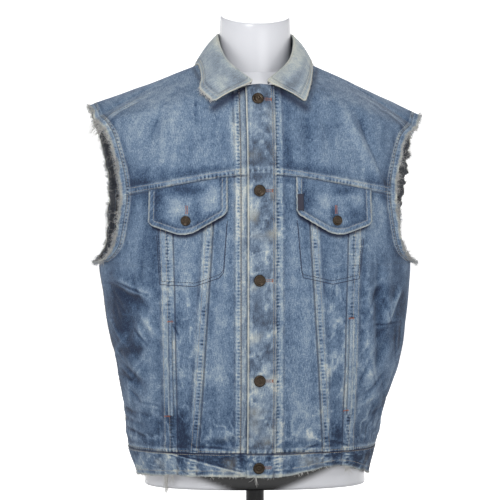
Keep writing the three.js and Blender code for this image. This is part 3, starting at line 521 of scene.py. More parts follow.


# Worn and unworn patches; the dark ones at the sides are partly unworn indigo and partly painted shade in the fold
# hollows there:
# centre on the cloth, half sizes and change of paleness
patchColumns = ["x", "z", "wide", "high", "fade"]
wearAndShadePatches = faceRows(patchColumns, {
    "front": [
        (-130, 690, 90, 70, 0.06), (120, 690, 70, 50, 0.03), (60, 650, 34, 60, -0.1), (-30, 560, 16, 60, 0.18),
        (-30, 400, 20, 110, 0.12), (-60, 400, 26, 110, 0.1), (50, 420, 30, 120, 0.08), (-110, 560, 30, 20, 0.16),
        (112, 560, 32, 20, 0.14), (-112, 486, 34, 26, 0.02), (-118, 350, 16, 80, 0.0), (112, 350, 16, 80, 0.02),
        (-150, 238, 26, 26, -0.2), (-112, 236, 20, 30, -0.4), (150, 236, 22, 22, -0.12), (112, 232, 20, 24, -0.36),
        (-128, 402, 12, 22, -0.26), (138, 402, 12, 20, -0.2), (-133, 262, 12, 20, -0.26), (134, 262, 10, 18, -0.2),
        (-160, 480, 30, 40, -0.12), (-196, 440, 26, 30, -0.14), (-200, 340, 26, 40, -0.1),
        (190, 420, 34, 60, -0.06), (200, 300, 30, 60, -0.04), (-172, 600, 26, 30, -0.2), (180, 600, 22, 30, -0.14),
        (-188, 345, 18, 30, -0.1), (-207, 402, 14, 24, -0.1), (-190, 262, 20, 26, -0.1),
        (-206, 560, 14, 60, -0.12), (206, 560, 14, 60, -0.12), (30, 600, 24, 26, 0.1), (-50, 250, 34, 24, -0.06),
        (60, 250, 40, 24, 0.04), (-200, 690, 30, 30, 0.06), (-203, 424, 16, 20, -0.16), (-186, 356, 24, 20, -0.17),
        (-190, 314, 14, 14, -0.14), (-188, 380, 44, 130, -0.08), (194, 400, 44, 140, -0.08),
        (-180, 232, 16, 8, -0.26), (-212, 400, 12, 90, -0.14), (-185, 300, 34, 80, -0.06),
        (214, 440, 12, 90, -0.16), (196, 440, 14, 12, -0.14), (184, 358, 18, 22, -0.12), (208, 384, 10, 24, -0.16),
        (180, 280, 20, 40, -0.14), (178, 420, 34, 70, -0.08), (-42, 668, 7, 44, 0.24), (-38, 560, 6, 60, 0.14),
        (-94, 708, 4, 26, -0.14), (40, 650, 6, 50, -0.12), (92, 620, 60, 8, -0.1), (-110, 620, 60, 8, -0.12),
    ],
    "back": [
        (0, 700, 130, 50, 0.1), (0, 420, 60, 120, 0.06), (-150, 400, 40, 90, -0.06), (150, 400, 40, 90, -0.04),
        (-120, 240, 40, 30, -0.16), (120, 240, 40, 30, -0.16), (0, 590, 120, 14, -0.08),
        (-190, 560, 18, 60, -0.12), (190, 560, 18, 60, -0.12),
    ],
})


def patchFade(face, point):
    total = np.zeros(point.shape[:-1])
    for patch in wearAndShadePatches:
        if patch["face"] == face:
            total += patch["fade"] * np.exp(-(((point[..., 0] - patch["x"]) / patch["wide"]) ** 2
                                              + ((point[..., 2] - patch["z"]) / patch["high"]) ** 2))
    return total


# Where the cloth is rubbed in fine broken lines
def roughness(face, point):
    if face == "back":
        return bell(point[..., 2] - 240, 40)
    x = np.abs(point[..., 0])
    middle = bell(x - 108, 26) * bell(point[..., 2] - 350, 110)
    return np.clip(middle + bell(point[..., 2] - 236, 26) + bell(x - 8, 22) + 0.5 * bell(x - 150, 14), 0, 1)


# Lift off the plain section, and the look of the cloth: how pale and how dark in seams.
# Besides wear, the colour holds painted highlight and shade: paler on raised creases, wrinkles and folds and darker in
# their hollows, and darker under overhanging edges and beside raised seam strips. The yokes are calmer than the rest of
# the cloth.
wearAndShadeLook = dict(base=0.47, blotch=0.7, crease=0.034, broad=0.15, fine=0.12, ridge=0.24, wrinkleShading=0.075, streak=0.05,
                foldLift=3.0)


def clothLook(face, share, level, point):
    crease = creaseHeight(point, creases)
    soft = layeredNoise(point, 46, 5, 2) * 1.3 + layeredNoise(point * [1, 1, 0.7], 17, 9, 2) * 0.45
    calm = smoothStep(level, 790, 809)
    lift = crease + (soft - 0.4) * (1 - 0.7 * calm)
    blotch = layeredNoise(point, 30, 25)
    ridges = smoothStep(1 - np.abs(layeredNoise(point * [1, 1, 0.6], 15, 27)), 0.84, 1)
    even = 1 - 0.55 * smoothStep(level, 612, 640)
    fade = wearAndShadeLook["base"] + patchFade(face, point) * (1 + wearAndShadeLook["blotch"] * blotch * even)
    # Paler on raised creases and darker in their hollows: painted highlight and shade
    fade += wearAndShadeLook["crease"] * crease + wearAndShadeLook["broad"] * layeredNoise(point, 60, 21) * even
    fade += wearAndShadeLook["fine"] * layeredNoise(point * [1, 1, 0.5], 9, 31) * even
    fade += ridges * (0.05 + wearAndShadeLook["ridge"] * roughness(face, point)) * even
    # Painted highlight on the wrinkles' ridges and painted shade in their hollows
    fade += wearAndShadeLook["wrinkleShading"] * creaseHeight(point, wrinkles)
    streaks = softNoise(point * [1, 1, 0.12], 8, 35) + 0.6 * softNoise(point * [1, 1, 0.12], 4, 36)
    fade += wearAndShadeLook["streak"] * streaks * (2 - even)
    dark = np.zeros(level.shape)
    if face == "front":
        # Darkening starts with the painted shade under the flaps and the collar
        dark = shadeUnderEdges(point)
        folds = foldLook(point)
        fade += folds
        lift += wearAndShadeLook["foldLift"] * folds
    for distance, along, seed, on, inner, outer in seamLines(face, share, level, point):
        rung = rungs(distance, along, seed, inner, outer)
        lift += ladder["height"] * rung * on
        fade += ticks(distance, along, seed, inner, outer) * on
        edge = bell(distance - outer, 1.3) + bell(distance - inner - 2, 1.2)
        fade += 0.12 * edge * on * (1 + waver(along, seed + 5, 11))
        # Dark lines along the band's edges: painted shadow at the foot of the seam's raised strip
        dark += on * (0.8 * bell(distance - inner - 0.4, 1.2) + 0.3 * bell(distance - outer - 3, 1.8)
                      * (1 + waver(along, seed + 6, 14)))
        fade -= on * (0.12 * bell(distance - outer - 7, 6) + 0.1 * bell(distance - inner + 5, 4))
    return lift, fade, dark


def clothAt(face, share, level, lift=0.0):
    point, normal = bodySurface(face, share, level)
    return point + normal * (clothLook(face, share, level, point)[0] + lift)[..., None], normal


print("seams and wear ready")


def linear(red, green, blue):
    return tuple(((c / 255 + 0.055) / 1.055) ** 2.4 if c > 10 else c / 255 / 12.92 for c in (red, green, blue)) + (1,)


def newMaterial(name):
    material = bpy.data.materials.new(name)
    material.use_nodes = True
    tree = material.node_tree
    return material, tree, tree.nodes["Principled BSDF"]


def link(tree, source, output, target, socket):
    tree.links.new(source.outputs[output], target.inputs[socket])


def mathNode(tree, operation, first, second=0.0):
    node = tree.nodes.new("ShaderNodeMath")
    node.operation = operation
    for i, value in enumerate((first, second)):
        if isinstance(value, (int, float)):
            node.inputs[i].default_value = value
        else:
            tree.links.new(value, node.inputs[i])
    return node.outputs["Value"]


def noiseNode(tree, vector, scale, detail=3, roughness=0.6):
    node = tree.nodes.new("ShaderNodeTexNoise")
    node.inputs["Scale"].default_value = scale
    node.inputs["Detail"].default_value = detail
    node.inputs["Roughness"].default_value = roughness
    tree.links.new(vector, node.inputs["Vector"])
    return node.outputs["Fac"]


def mixNode(tree, factor, first, second):
    node = tree.nodes.new("ShaderNodeMix")
    node.data_type = "RGBA"
    tree.links.new(factor, node.inputs["Factor"])
    for name, value in (("A", first), ("B", second)):
        socket = [s for s in node.inputs if s.name == name and s.type == "RGBA"][0]
        if isinstance(value, tuple):
            socket.default_value = value
        else:
            tree.links.new(value, socket)
    return [s for s in node.outputs if s.type == "RGBA"][0]


# Denim: worn from indigo to near white, with slubs along the warp and a fine twill
denimLook = dict(
    ramp=[(0.0, (32, 44, 66)), (0.25, (60, 80, 106)), (0.5, (98, 118, 142)), (0.75, (140, 155, 168)),
          (1.0, (188, 192, 188))],
    # The inside faces: their own grey, darkened as painted shade, with a darker soil colour too
    inside=[(0.0, (38, 40, 46)), (0.5, (62, 65, 72)), (1.0, (92, 94, 99))],
    seamAndShadeDark=(32, 38, 60), soil=(192, 190, 172), shadedInsideSoil=(84, 86, 90), roughness=0.92, specular=0.18, sheen=0.12,
    fleck=1.0, blotch=0.3, slub=0.7, bump=0.55, bumpDepth=0.0011,
)


def makeDenim(name, tones, soil):
    material, tree, surface = newMaterial(name)
    # Colour layers of paleness, darkening and soil: wear and dark seams, with painted highlight and shade
    wearAndShade = tree.nodes.new("ShaderNodeAttribute")
    wearAndShade.attribute_name = "wearAndShade"
    split = tree.nodes.new("ShaderNodeSeparateColor")
    link(tree, wearAndShade, "Color", split, "Color")
    place = tree.nodes.new("ShaderNodeTexCoord")
    grain = tree.nodes.new("ShaderNodeMapping")
    grain.inputs["Scale"].default_value = (1.0, 0.16, 1.0)
    link(tree, place, "UV", grain, "Vector")
    fleck = noiseNode(tree, place.outputs["Object"], 560, 4, 0.75)
    blotch = noiseNode(tree, place.outputs["Object"], 130, 3, 0.6)
    slub = noiseNode(tree, grain.outputs["Vector"], 900, 3, 0.6)
    fade = split.outputs["Red"]
    for noise, amount in ((fleck, denimLook["fleck"]), (blotch, denimLook["blotch"]), (slub, denimLook["slub"])):
        uneven = mathNode(tree, "MULTIPLY", mathNode(tree, "SUBTRACT", noise, 0.5), amount)
        fade = mathNode(tree, "ADD", fade, uneven)
    ramp = tree.nodes.new("ShaderNodeValToRGB")
    tree.links.new(fade, ramp.inputs["Fac"])
    stops = ramp.color_ramp.elements
    while len(stops) < len(tones):
        stops.new(0.5)
    for stop, (at, colour) in zip(stops, tones):
        stop.position = at
        stop.color = linear(*colour)
    soiled = mixNode(tree, split.outputs["Blue"], ramp.outputs["Color"], linear(*soil))
    # Darkening towards a deep blue: dark seam lines, and painted shade under overhanging edges and beside raised seam
    # strips
    colour = mixNode(tree, split.outputs["Green"], soiled, linear(*denimLook["seamAndShadeDark"]))
    tree.links.new(colour, surface.inputs["Base Color"])
    surface.inputs["Roughness"].default_value = denimLook["roughness"]
    surface.inputs["Specular IOR Level"].default_value = denimLook["specular"]
    surface.inputs["Sheen Weight"].default_value = denimLook["sheen"]
    twill = tree.nodes.new("ShaderNodeTexWave")
    twill.bands_direction = "DIAGONAL"
    twill.inputs["Scale"].default_value = 260
    twill.inputs["Distortion"].default_value = 1.5
    link(tree, place, "UV", twill, "Vector")
    height = mathNode(tree, "ADD", mathNode(tree, "MULTIPLY", twill.outputs["Fac"], 0.35),
                      mathNode(tree, "ADD", slub, blotch))
    bump = tree.nodes.new("ShaderNodeBump")
    bump.inputs["Strength"].default_value = denimLook["bump"]
    bump.inputs["Distance"].default_value = denimLook["bumpDepth"]
    tree.links.new(height, bump.inputs["Height"])
    link(tree, bump, "Normal", surface, "Normal")
    return material


denim = makeDenim("denimCloth", denimLook["ramp"], denimLook["soil"])
# Inside faces take a darker copy of the denim, as painted shade
shadedDenimInside = makeDenim("shadedDenimInside", denimLook["inside"], denimLook["shadedInsideSoil"])


def plainMaterial(name, colour, roughness, metallic=0.0, coat=0.0, mottle=0.0, scale=200):
    material, tree, surface = newMaterial(name)
    surface.inputs["Roughness"].default_value = roughness
    surface.inputs["Metallic"].default_value = metallic
    surface.inputs["Coat Weight"].default_value = coat
    surface.inputs["Coat Roughness"].default_value = 0.08
    place = tree.nodes.new("ShaderNodeTexCoord")
    fleck = noiseNode(tree, place.outputs["Object"], scale, 3, 0.6)
    darker = tuple(c * (1 - mottle) for c in linear(*colour)[:3]) + (1,)
    tree.links.new(mixNode(tree, fleck, linear(*colour), darker), surface.inputs["Base Color"])
    return material


threadMaterial = plainMaterial("paleThread", (176, 168, 154), 0.85, mottle=0.6, scale=160)
orangeThread = plainMaterial("orangeThread", (204, 112, 66), 0.8, mottle=0.35, scale=300)
pinkThread = plainMaterial("pinkThread", (196, 140, 122), 0.8, mottle=0.4, scale=300)
darkThread = plainMaterial("darkThread", (40, 46, 72), 0.85, mottle=0.3, scale=300)
frayMaterial = plainMaterial("frayedCotton", (206, 205, 202), 0.95, mottle=0.45, scale=120)
blueFray = plainMaterial("blueFray", (138, 150, 166), 0.95, mottle=0.5, scale=160)
bronzeMaterial = plainMaterial("agedBronze", (74, 64, 54), 0.34, metallic=0.85, mottle=0.7, scale=420)
formMaterial = plainMaterial("glossWhite", (200, 201, 206), 0.24, coat=0.2, mottle=0.015, scale=12)


# The shell lies in shade below the hem: its "shade" attribute darkens the colour
def shadeForm(material):
    tree = material.node_tree
    surface = tree.nodes["Principled BSDF"]
    plain = surface.inputs["Base Color"].links[0].from_socket
    shade = tree.nodes.new("ShaderNodeAttribute")
    shade.attribute_name = "shade"
    tree.links.new(mixNode(tree, shade.outputs["Fac"], plain, linear(4, 4, 5)), surface.inputs["Base Color"])


shadeForm(formMaterial)
standMaterial = plainMaterial("blackSatin", (18, 18, 20), 0.38, metallic=0.4, mottle=0.2, scale=30)
tapeMaterial = plainMaterial("darkTape", (52, 52, 66), 0.9, mottle=0.3, scale=600)
print("materials ready")


def freedMesh(name, form):
    mesh = bpy.data.meshes.new(name)
    form.to_mesh(mesh)
    form.free()
    return mesh


# Values from 0 to 1 for each vertex, in the channels red, green and blue
def paintVertices(mesh, name, channels):
    values = np.ones((len(mesh.vertices), 4), np.float32)
    for c, layer in enumerate(channels):
        values[:, c] = np.clip(layer, 0, 1)
    mesh.color_attributes.new(name, "FLOAT_COLOR", "POINT").data.foreach_set("color", values.ravel())


def addObject(name, mesh, material, nodes=()):
    piece = bpy.data.objects.new(name, mesh)
    bpy.context.scene.collection.objects.link(piece)
    mesh.materials.clear()
    mesh.materials.append(material)
    mesh.polygons.foreach_set("use_smooth", np.ones(len(mesh.polygons), bool))
    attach(piece, "root")
    if nodes:
        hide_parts(*nodes)
    return piece


# A grid of cloth moved to its points, thickened inwards; arrays run [row, column], and its colour layers are fade, dark
# and soil, which hold painted highlight and shade besides wear and dark seams
def clothGrid(name, points, outward, flat, wearAndShade, nodes=(), thickness=1.6, ring=False, material=None):
    rows, columns = points.shape[:2]
    form = bmesh.new()
    uv = form.loops.layers.uv.new("flat")
    bmesh.ops.create_grid(form, x_segments=columns - 1, y_segments=rows - 1, size=1)
    form.verts.ensure_lookup_table()
    place = np.array([v.co[:] for v in form.verts])
    i = np.rint((place[:, 0] + 1) / 2 * (columns - 1)).astype(int)
    j = np.rint((place[:, 1] + 1) / 2 * (rows - 1)).astype(int)
    for vertex, a, b in zip(form.verts, j, i):
        vertex.co = points[a, b] * mm
    form.faces.ensure_lookup_table()
    middle = form.faces[len(form.faces) // 2]
    middle.normal_update()
    corner = middle.verts[0].index
    if np.dot(middle.normal[:], outward[j[corner], i[corner]]) < 0:
        bmesh.ops.reverse_faces(form, faces=form.faces[:])
    for polygon in form.faces:
        for loop in polygon.loops:
            loop[uv].uv = flat[j[loop.vert.index], i[loop.vert.index]] * mm
    mesh = freedMesh(name, form)
    paintVertices(mesh, "wearAndShade", [layer[j, i] for layer in wearAndShade])
    if ring:
        form = bmesh.new()
        form.from_mesh(mesh)
        bmesh.ops.remove_doubles(form, verts=form.verts[:], dist=0.00002)
        form.to_mesh(mesh)
        form.free()
    piece = addObject(name, mesh, material or denim, nodes)
    if not material:
        mesh.materials.append(shadedDenimInside)
    wall = piece.modifiers.new("wall", "SOLIDIFY")
    wall.material_offset = 0 if material else 1
    wall.thickness = thickness * mm
    wall.offset = -1
    wall.use_even_offset = False
    return piece


# Places along an edge to edge length, close beside both edges
def spacing(length, fine=1.1, coarse=2.7, margin=14):
    near = np.arange(0, min(margin, length / 2), fine)
    inside = np.linspace(near[-1], length - near[-1], max(int((length - 2 * near[-1]) / coarse), 2) + 1)
    return np.concatenate([near[:-1], inside, (length - near[:-1])[::-1]]) / length


def lerp(a, b, t):
    return a + (b - a) * t


def panelGrid(spec, across, up):
    face = spec["face"]
    u, t = np.meshgrid(across, up)
    level = lerp(spec["bottom"](np.array(1.0)), spec["top"](np.array(1.0)), t)
    for _ in range(4):
        share = lerp(spec["inner"](level), spec["outer"](level), u)
        level = lerp(spec["bottom"](share), spec["top"](share), t)
    return face, share, level


def addPanel(name, node, spec, extras=()):
    width, height = spec["size"]
    up = spec.get("up")
    grain = spec.get("grain", 1)
    if up is None:
        up = spacing(height, 1.3 * grain, 2.5 * grain)
    grid = panelGrid(spec, spacing(width, 1.1 * grain, 2.7 * grain), up)
    finishPanel(name, node, spec, grid)


def finishPanel(name, node, spec, grid):
    face, share, level = grid
    point, normal = bodySurface(face, share, level)
    lift, fade, dark = clothLook(face, share, level, point)
    soil = np.zeros(level.shape)
    if "finish" in spec:
        lift, fade, dark, soil = spec["finish"](share, level, point, lift, fade, dark, soil)
    flat = np.stack([share * halfGirth(face, level), level], axis=-1)
    piece = clothGrid(name, point + normal * lift[..., None], normal, flat, (fade, dark, soil), [node],
                      spec.get("thickness", 1.6))


# The raised strip of a felled seam
fell = dict(lift=1.0, wide=11)


def besideSeam(line, side=1):
    def finish(share, level, point, lift, fade, dark, soil):
        distance = (np.abs(point[..., 0]) - line(level)) * side
        strip = 1 - smoothStep(distance, fell["wide"] - 1.5, fell["wide"] + 1.5)
        return lift + fell["lift"] * strip, fade, dark, soil
    return finish


def aboveSeam(line):
    def finish(share, level, point, lift, fade, dark, soil):
        return lift + fell["lift"] * (1 - smoothStep(level - line(share), 8, 11)), fade, dark, soil
    return finish


def atX(face, sign, line):
    return lambda level: shareAt(face, sign * line(level), level)


def steady(value):
    return lambda level: value + 0 * level


def longSeam(which):
    return lambda level: vSeam(which, level)


# Rows of the side panels, closer together where the armhole begins; both faces meet on them at the side seam
sideUp = np.interp(np.linspace(0, 1, 190), [0, 0.62, 0.72, 0.8, 1], [0, 0.66, 0.725, 0.79, 1])


def addFrontPanels():
    for word, sign, opening, width, area in (("left", -1, -placket["underEdge"], 0.075, 0.0215),
                                             ("right", 1, placket["outer"], 0.087, 0.026)):
        title = word.capitalize()
        plain = dict(face="front", bottom=steady(waistSeam), top=yokeLevel)
        inner, outer = atX("front", sign, longSeam("inner")), atX("front", sign, longSeam("outer"))
        addPanel("frontCentre" + title, "front_centre_" + word, dict(
            plain, inner=atX("front", sign, steady(opening)), outer=inner, size=(60, 410)))
        addPanel("frontMiddle" + title, "front_middle_" + word, dict(
            plain, inner=inner, outer=outer, size=(56, 405), finish=besideSeam(longSeam("inner"))))
        addPanel("frontSide" + title, "front_side_" + word, dict(
            plain, inner=outer, outer=steady(float(sign)), size=(130, 400), up=sideUp,
            finish=besideSeam(longSeam("outer"))))
        neck = lambda level, reach=opening: np.maximum(neckTables["front"](level)["x"], reach)
        addPanel("frontYoke" + title, "front_yoke_" + word, dict(
            face="front", inner=atX("front", sign, neck), outer=steady(float(sign)),
            bottom=yokeLevel, top=steady(shoulderLevel), size=(190, 250), finish=aboveSeam(yokeLevel)))


def addBackPanels():
    plain = dict(face="back", bottom=steady(waistSeam), top=backYokeLevel, grain=1.5)
    for word, sign in (("left", -1), ("right", 1)):
        addPanel("backSide" + word.capitalize(), "back_side_" + word, dict(
            plain, inner=atX("back", sign, backSeam), outer=steady(float(sign)), size=(170, 400), up=sideUp))
    addPanel("backCentre", "back_centre", dict(
        plain, inner=atX("back", -1, backSeam), outer=atX("back", 1, backSeam), size=(210, 400),
        finish=besideSeam(backSeam, -1)))


# One cut piece across the shoulders: its middle row meets the neck, so the grid is gathered round it
def addBackYoke():
    up = np.linspace(0, 1, 76)
    across = np.linspace(-1, 1, 150)
    u, t = np.meshgrid(across, up)
    level = lerp(backYokeLevel(u), shoulderLevel + 0 * u, t)
    for _ in range(3):
        neck = shareAt("back", neckTables["back"](level)["x"], level)
        share = np.sign(u) * lerp(neck, 1 + 0 * level, np.abs(u))
        level = lerp(backYokeLevel(share), shoulderLevel + 0 * u, t)
    finishPanel("backYoke", "back_yoke", dict(finish=aboveSeam(backYokeLevel)), ("back", share, level))


addFrontPanels()
addBackPanels()
addBackYoke()
print("panels ready")


def worn(amount, size, seed, point):
    return amount * layeredNoise(point, size, seed)


# Folds of the over strip, drawn only in colour as painted shade and highlight
overFolds = namedRows(["x0", "z0", "x1", "z1"], [
    (14, 405, -6, 350), (-8, 302, 16, 232), (12, 560, -12, 520), (-14, 690, 8, 650)])


def overStrip(share, level, point, lift, fade, dark, soil):
    x = point[..., 0]
    lift = lift + placket["lift"] + 0.4 * np.sin(level / 9 + 2 * waver(level, 41)) * bell(x + 15, 9)
    edge = bell(x - placket["inner"] - 0.6, 1.1)
    fade = fade - 0.1 + worn(0.34, 22, 51, point) + worn(0.24, 8, 52, point) + 0.5 * edge
    fade = fade + 0.14 * bell(x + 15, 1.6)
    # Painted shade along each fold line, with a painted highlight on its rims
    for line in overFolds:
        away = fromLine(x, level, line)[0]
        fade = fade + 0.16 * bell(away - 1.5, 1.6) - 0.2 * bell(away + 0.5, 1.2)
    soil = soil + 0.06 + 0.5 * edge + 0.34 * smoothStep(layeredNoise(point, 30, 53), 0.1, 0.9)
    return lift, fade, dark * 0.6, soil


def underStrip(share, level, point, lift, fade, dark, soil):
    x = point[..., 0]
    fade = fade + 0.22 * bell(x + 28, 7) * (1 + 0.6 * waver(level, 43, 40)) - 0.1
    # Painted shadow of the over strip's edge, where it lies across the under strip
    dark = dark + 0.5 * bell(x + 21, 1.6)
    return lift, fade, dark, soil + 0.12 * bell(x + 27, 6)


def addPlackets():
    plain = dict(face="front", bottom=steady(waistSeam), top=steady(placket["top"]), up=spacing(560, 1.6, 2.6))
    addPanel("placketUnder", "placket_left_under", dict(
        plain, inner=atX("front", 1, steady(placket["underEdge"])),
        outer=atX("front", 1, steady(placket["underInner"])), size=(45, 560), finish=underStrip))
    addPanel("placketOver", "placket_right_over", dict(
        plain, inner=atX("front", 1, steady(placket["inner"])), outer=atX("front", 1, steady(placket["outer"])),
        size=(42.5, 560), finish=overStrip, thickness=2.2))


# Threads: many short lines given as rows of points, in one mesh
def threadMesh(name, paths, radius, taper=False):
    data = bpy.data.curves.new(name, "CURVE")
    data.dimensions = "3D"
    data.bevel_depth = radius * mm
    data.bevel_resolution = 0
    data.use_fill_caps = True
    for path in paths:
        spline = data.splines.new("POLY")
        spline.points.add(len(path) - 1)
        spline.points.foreach_set("co", np.hstack([path * mm, np.ones((len(path), 1))]).ravel())
        if taper:
            spline.points.foreach_set("radius", np.linspace(1, 0.35, len(path)))
    line = bpy.data.objects.new(name + "Line", data)
    bpy.context.scene.collection.objects.link(line)
    depsgraph = bpy.context.evaluated_depsgraph_get()
    mesh = bpy.data.meshes.new_from_object(line.evaluated_get(depsgraph))
    mesh.name = name
    bpy.data.objects.remove(line)
    bpy.data.curves.remove(data)
    return mesh


def evenly(points, step):
    length = np.concatenate([[0], np.cumsum(np.linalg.norm(np.diff(points, axis=0), axis=1))])
    at = np.arange(step / 2, length[-1], step)
    return np.stack([np.interp(at, length, points[:, c]) for c in range(3)], axis=-1)


# Cuts a line on the cloth into stitches of a given pitch
stitch = dict(pitch=3.4, radius=0.28, cord=0.5)


def stitches(points):
    ends = evenly(points, stitch["pitch"] * 0.25)
    paths = []
    for i in range(0, len(ends) - 4, 4):
        a, b = ends[i], ends[i + 3]
        wander = random.normal(0, 0.12, 3)
        paths.append(np.array([a + wander, b + wander]))
    return paths


def bodyLine(face, x, level, lift, step=2.0):
    x = np.asarray(x, float)
    level = np.asarray(level, float)
    length = np.concatenate([[0], np.cumsum(np.hypot(np.diff(x), np.diff(level)))])
    at = np.linspace(0, length[-1], max(int(length[-1] / step), 2) + 1)
    x, level = np.interp(at, length, x), np.interp(at, length, level)
    return clothAt(face, shareAt(face, x, level), level, lift)[0]


# Stitched line that climbs over the raised strips of the two long seams
def pouchLine(x, z):
    length = np.concatenate([[0], np.cumsum(np.hypot(np.diff(x), np.diff(z)))])
    at = np.linspace(0, length[-1], int(length[-1] / 1.5))
    x, level = np.interp(at, length, x), np.interp(at, length, z)
    lift = 0.1 + 0 * x
    for which in ("inner", "outer"):
        distance = np.abs(x) - vSeam(which, level)
        beyond = smoothStep(distance, fell["wide"] - 1.5, fell["wide"] + 2)
        lift += fell["lift"] * smoothStep(distance, -2, 0) * (1 - beyond)
    return clothAt("front", shareAt("front", x, level), level, lift)[0]


def shareLine(face, share, level, lift):
    share = np.asarray(share, float) + 0 * level
    return clothAt(face, share, level, lift)[0]


# Waistband, in three pieces, with an uneven worn lower edge
band = dict(lift=0.8, thickness=2.6, height=38, overlap=3.1, overlapStart=0.09, overlapEnd=0.3)
torn = dict(x=-141, drop=31, run=117, start=-150, end=-22)


# The right end lies over the left one and the plackets
def overlapRise(share):
    return band["overlap"] * (1 - smoothStep(share, band["overlapStart"], band["overlapEnd"]))


# On the left a torn outer layer ends along a slanting edge, with the darker layer showing above it
def bandLook(place):
    def finish(share, level, point, lift, fade, dark, soil):
        face = "back" if place == "back" else "front"
        extra = overlapRise(share) if place == "right" else 0
        low = level - hemLevel(face, share)
        ridges = 1 - np.abs(layeredNoise(point, 13, 68))
        fade = fade + worn(0.26, 20, 61, point) + worn(0.2, 7, 62, point) + 0.34 * smoothStep(ridges, 0.86, 1)
        fade = fade + 0.26 * bell(low - 1, 2.2) + 0.16 * bell(low - 9, 1.5) + 0.2 * bell(waistSeam - level - 2, 1.5)
        fade = fade - 0.05 - 0.3 * smoothStep(share, 0.15, 0.4)
        if place == "left":
            above = level - (waistSeam - (point[..., 0] - torn["x"]) / torn["run"] * torn["drop"])
            on = (smoothStep(point[..., 0], torn["start"], torn["start"] + 14)
                  * (1 - smoothStep(point[..., 0], torn["end"] - 8, torn["end"])))
            bare = smoothStep(above, 0, 1.4) * on
            lift = lift - 0.9 * bare
            fade = fade - 0.24 * bare + on * (0.5 * bell(above + 0.8, 1.1) + 0.1 * bell(above + 6, 5))
            dark = dark + 0.4 * on * bell(above - 2, 1.5)
        dark = dark + 0.6 * bell(waistSeam - level, 1.3)
        lift = lift + band["lift"] + extra + 1.1 * waver(share * 230, 64, 22) * bell(low, 9)
        soil = soil + 0.45 * bell(low, 2.5) + 0.25 * smoothStep(layeredNoise(point, 22, 65), 0.1, 0.8)
        return lift, fade, dark, soil
    return finish


def wornHem(face):
    def bottom(share):
        along = share * 230 + (300 if face == "back" else 0)
        bites = 3 * smoothStep(waver(along, 66, 16), 0.1, 0.7) + 0.9 * waver(along, 67, 4)
        return hemLevel(face, share) + bites - 2.5 * bell(share + 0.02, 0.14) * (face == "front")
    return bottom


# Fray: loose ends that start in the cloth's cut edge
def strand(root, along, length, bend, droop, joints=5):
    t = np.linspace(0, 1, joints)[:, None]
    return root + along * t * length + bend * (t ** 2) + np.array([0, 0, -1.0]) * droop * t ** 2


def curl(root, aim, size):
    side = unit(np.cross(aim, random.normal(0, 1, 3)))
    t = np.linspace(0, 1, 4)[:, None]
    return root + aim * t * size * 0.85 + side * np.sin(t * random.uniform(2, 4.6)) * size * 0.28


# Bundles: place across the front, count, length and spread
hemLook = dict(strands=520, radius=0.32, bundles=[
    (-136, 34, 34, 0.06), (-129, 8, 20, 0.2), (-166, 4, 26, 0.3), (-8, 7, 14, 0.3), (128, 22, 13, 0.5),
    (60, 3, 6, 0.3), (-70, 3, 7, 0.3)])


def hemFray():
    paths = []
    for _ in range(hemLook["strands"]):
        face = "front" if random.random() < 0.55 else "back"
        share = random.uniform(-0.99, 0.99)
        thick = 1 + 0.9 * waver(np.array([share * 230.0]), 121, 13)[0]
        paths.append(hemStrand(face, share, random.uniform(0.8, 3.4) * thick))
    for x, count, size, spread in hemLook["bundles"]:
        for _ in range(count):
            near = shareAt("front", np.array(x + random.normal(0, 2.0)), np.array(170.0))
            paths.append(hemStrand("front", float(near), size * random.uniform(0.55, 1), spread))
    return addObject("hemFray", threadMesh("hemFray", paths, hemLook["radius"], True), frayMaterial,
                     ["hem_fray"])


def hemStrand(face, share, size, spread=0.7):
    level = wornHem(face)(np.array(share)) + random.uniform(0.3, 1.4)
    lift = band["lift"] - random.uniform(0.2, 2.2)
    if face == "front":
        lift = lift + float(overlapRise(np.array(share))) * (share > -0.1)
    point, normal = bodySurface(face, np.array(share), level)
    aim = unit(np.array([random.normal(0, spread), random.normal(0, 0.3), -1.0]))
    return strand(point + normal * lift, aim, size, random.normal(0, 1, 3) * min(size, 8) * 0.25, 0)


def addWaistband():
    for place, node, inner, outer, width, flatWidth, area in (
            ("left", "waistband_left", atX("front", 1, steady(14.0)), -1.0, 250, 0.27, 0.0109),
            ("right", "waistband_right", atX("front", 1, steady(placket["inner"])), 1.0, 250, 0.27, 0.0095),
            ("back", "waistband_back", steady(-1.0), 1.0, 460, 0.47, 0.0187)):
        face = "back" if place == "back" else "front"
        addPanel("waistband" + place.capitalize(), node, dict(
            face=face, inner=inner, outer=steady(outer), bottom=wornHem(face), top=steady(waistSeam),
            size=(width, band["height"]), up=spacing(band["height"], 1.2, 1.8), finish=bandLook(place),
            thickness=band["thickness"]),
            extras=[hemFray()] if place == "back" else [])


addPlackets()
addWaistband()
print("strips and waistband ready")

# Pocket flaps
def flapPlace(sign, u, t):
    x = lerp(flap["inner"], flap["outer"], u)
    level = lerp(flapLow(x), yokeTable(x)["level"] - flap["belowYoke"], t)
    share = shareAt("front", sign * x, level)
    lift = flap["lift"] + flap["thickness"] + flap["swell"] * (1 - t) ** 1.5 + 0.7 * (1 - t) * np.sin(u * 9 + sign)
    return x, share, level, lift


def flapEdge(x, level):
    side = np.minimum(x - flap["inner"], flap["outer"] - x)
    return np.minimum(side, (level - flapLow(x)) * flap["slope"])


# Plain strip of tape sewn into the right flap's inner side
tab = dict(inner=51.5, outer=60, low=564, high=588, lift=4.6, swell=2.6, thickness=0.8)


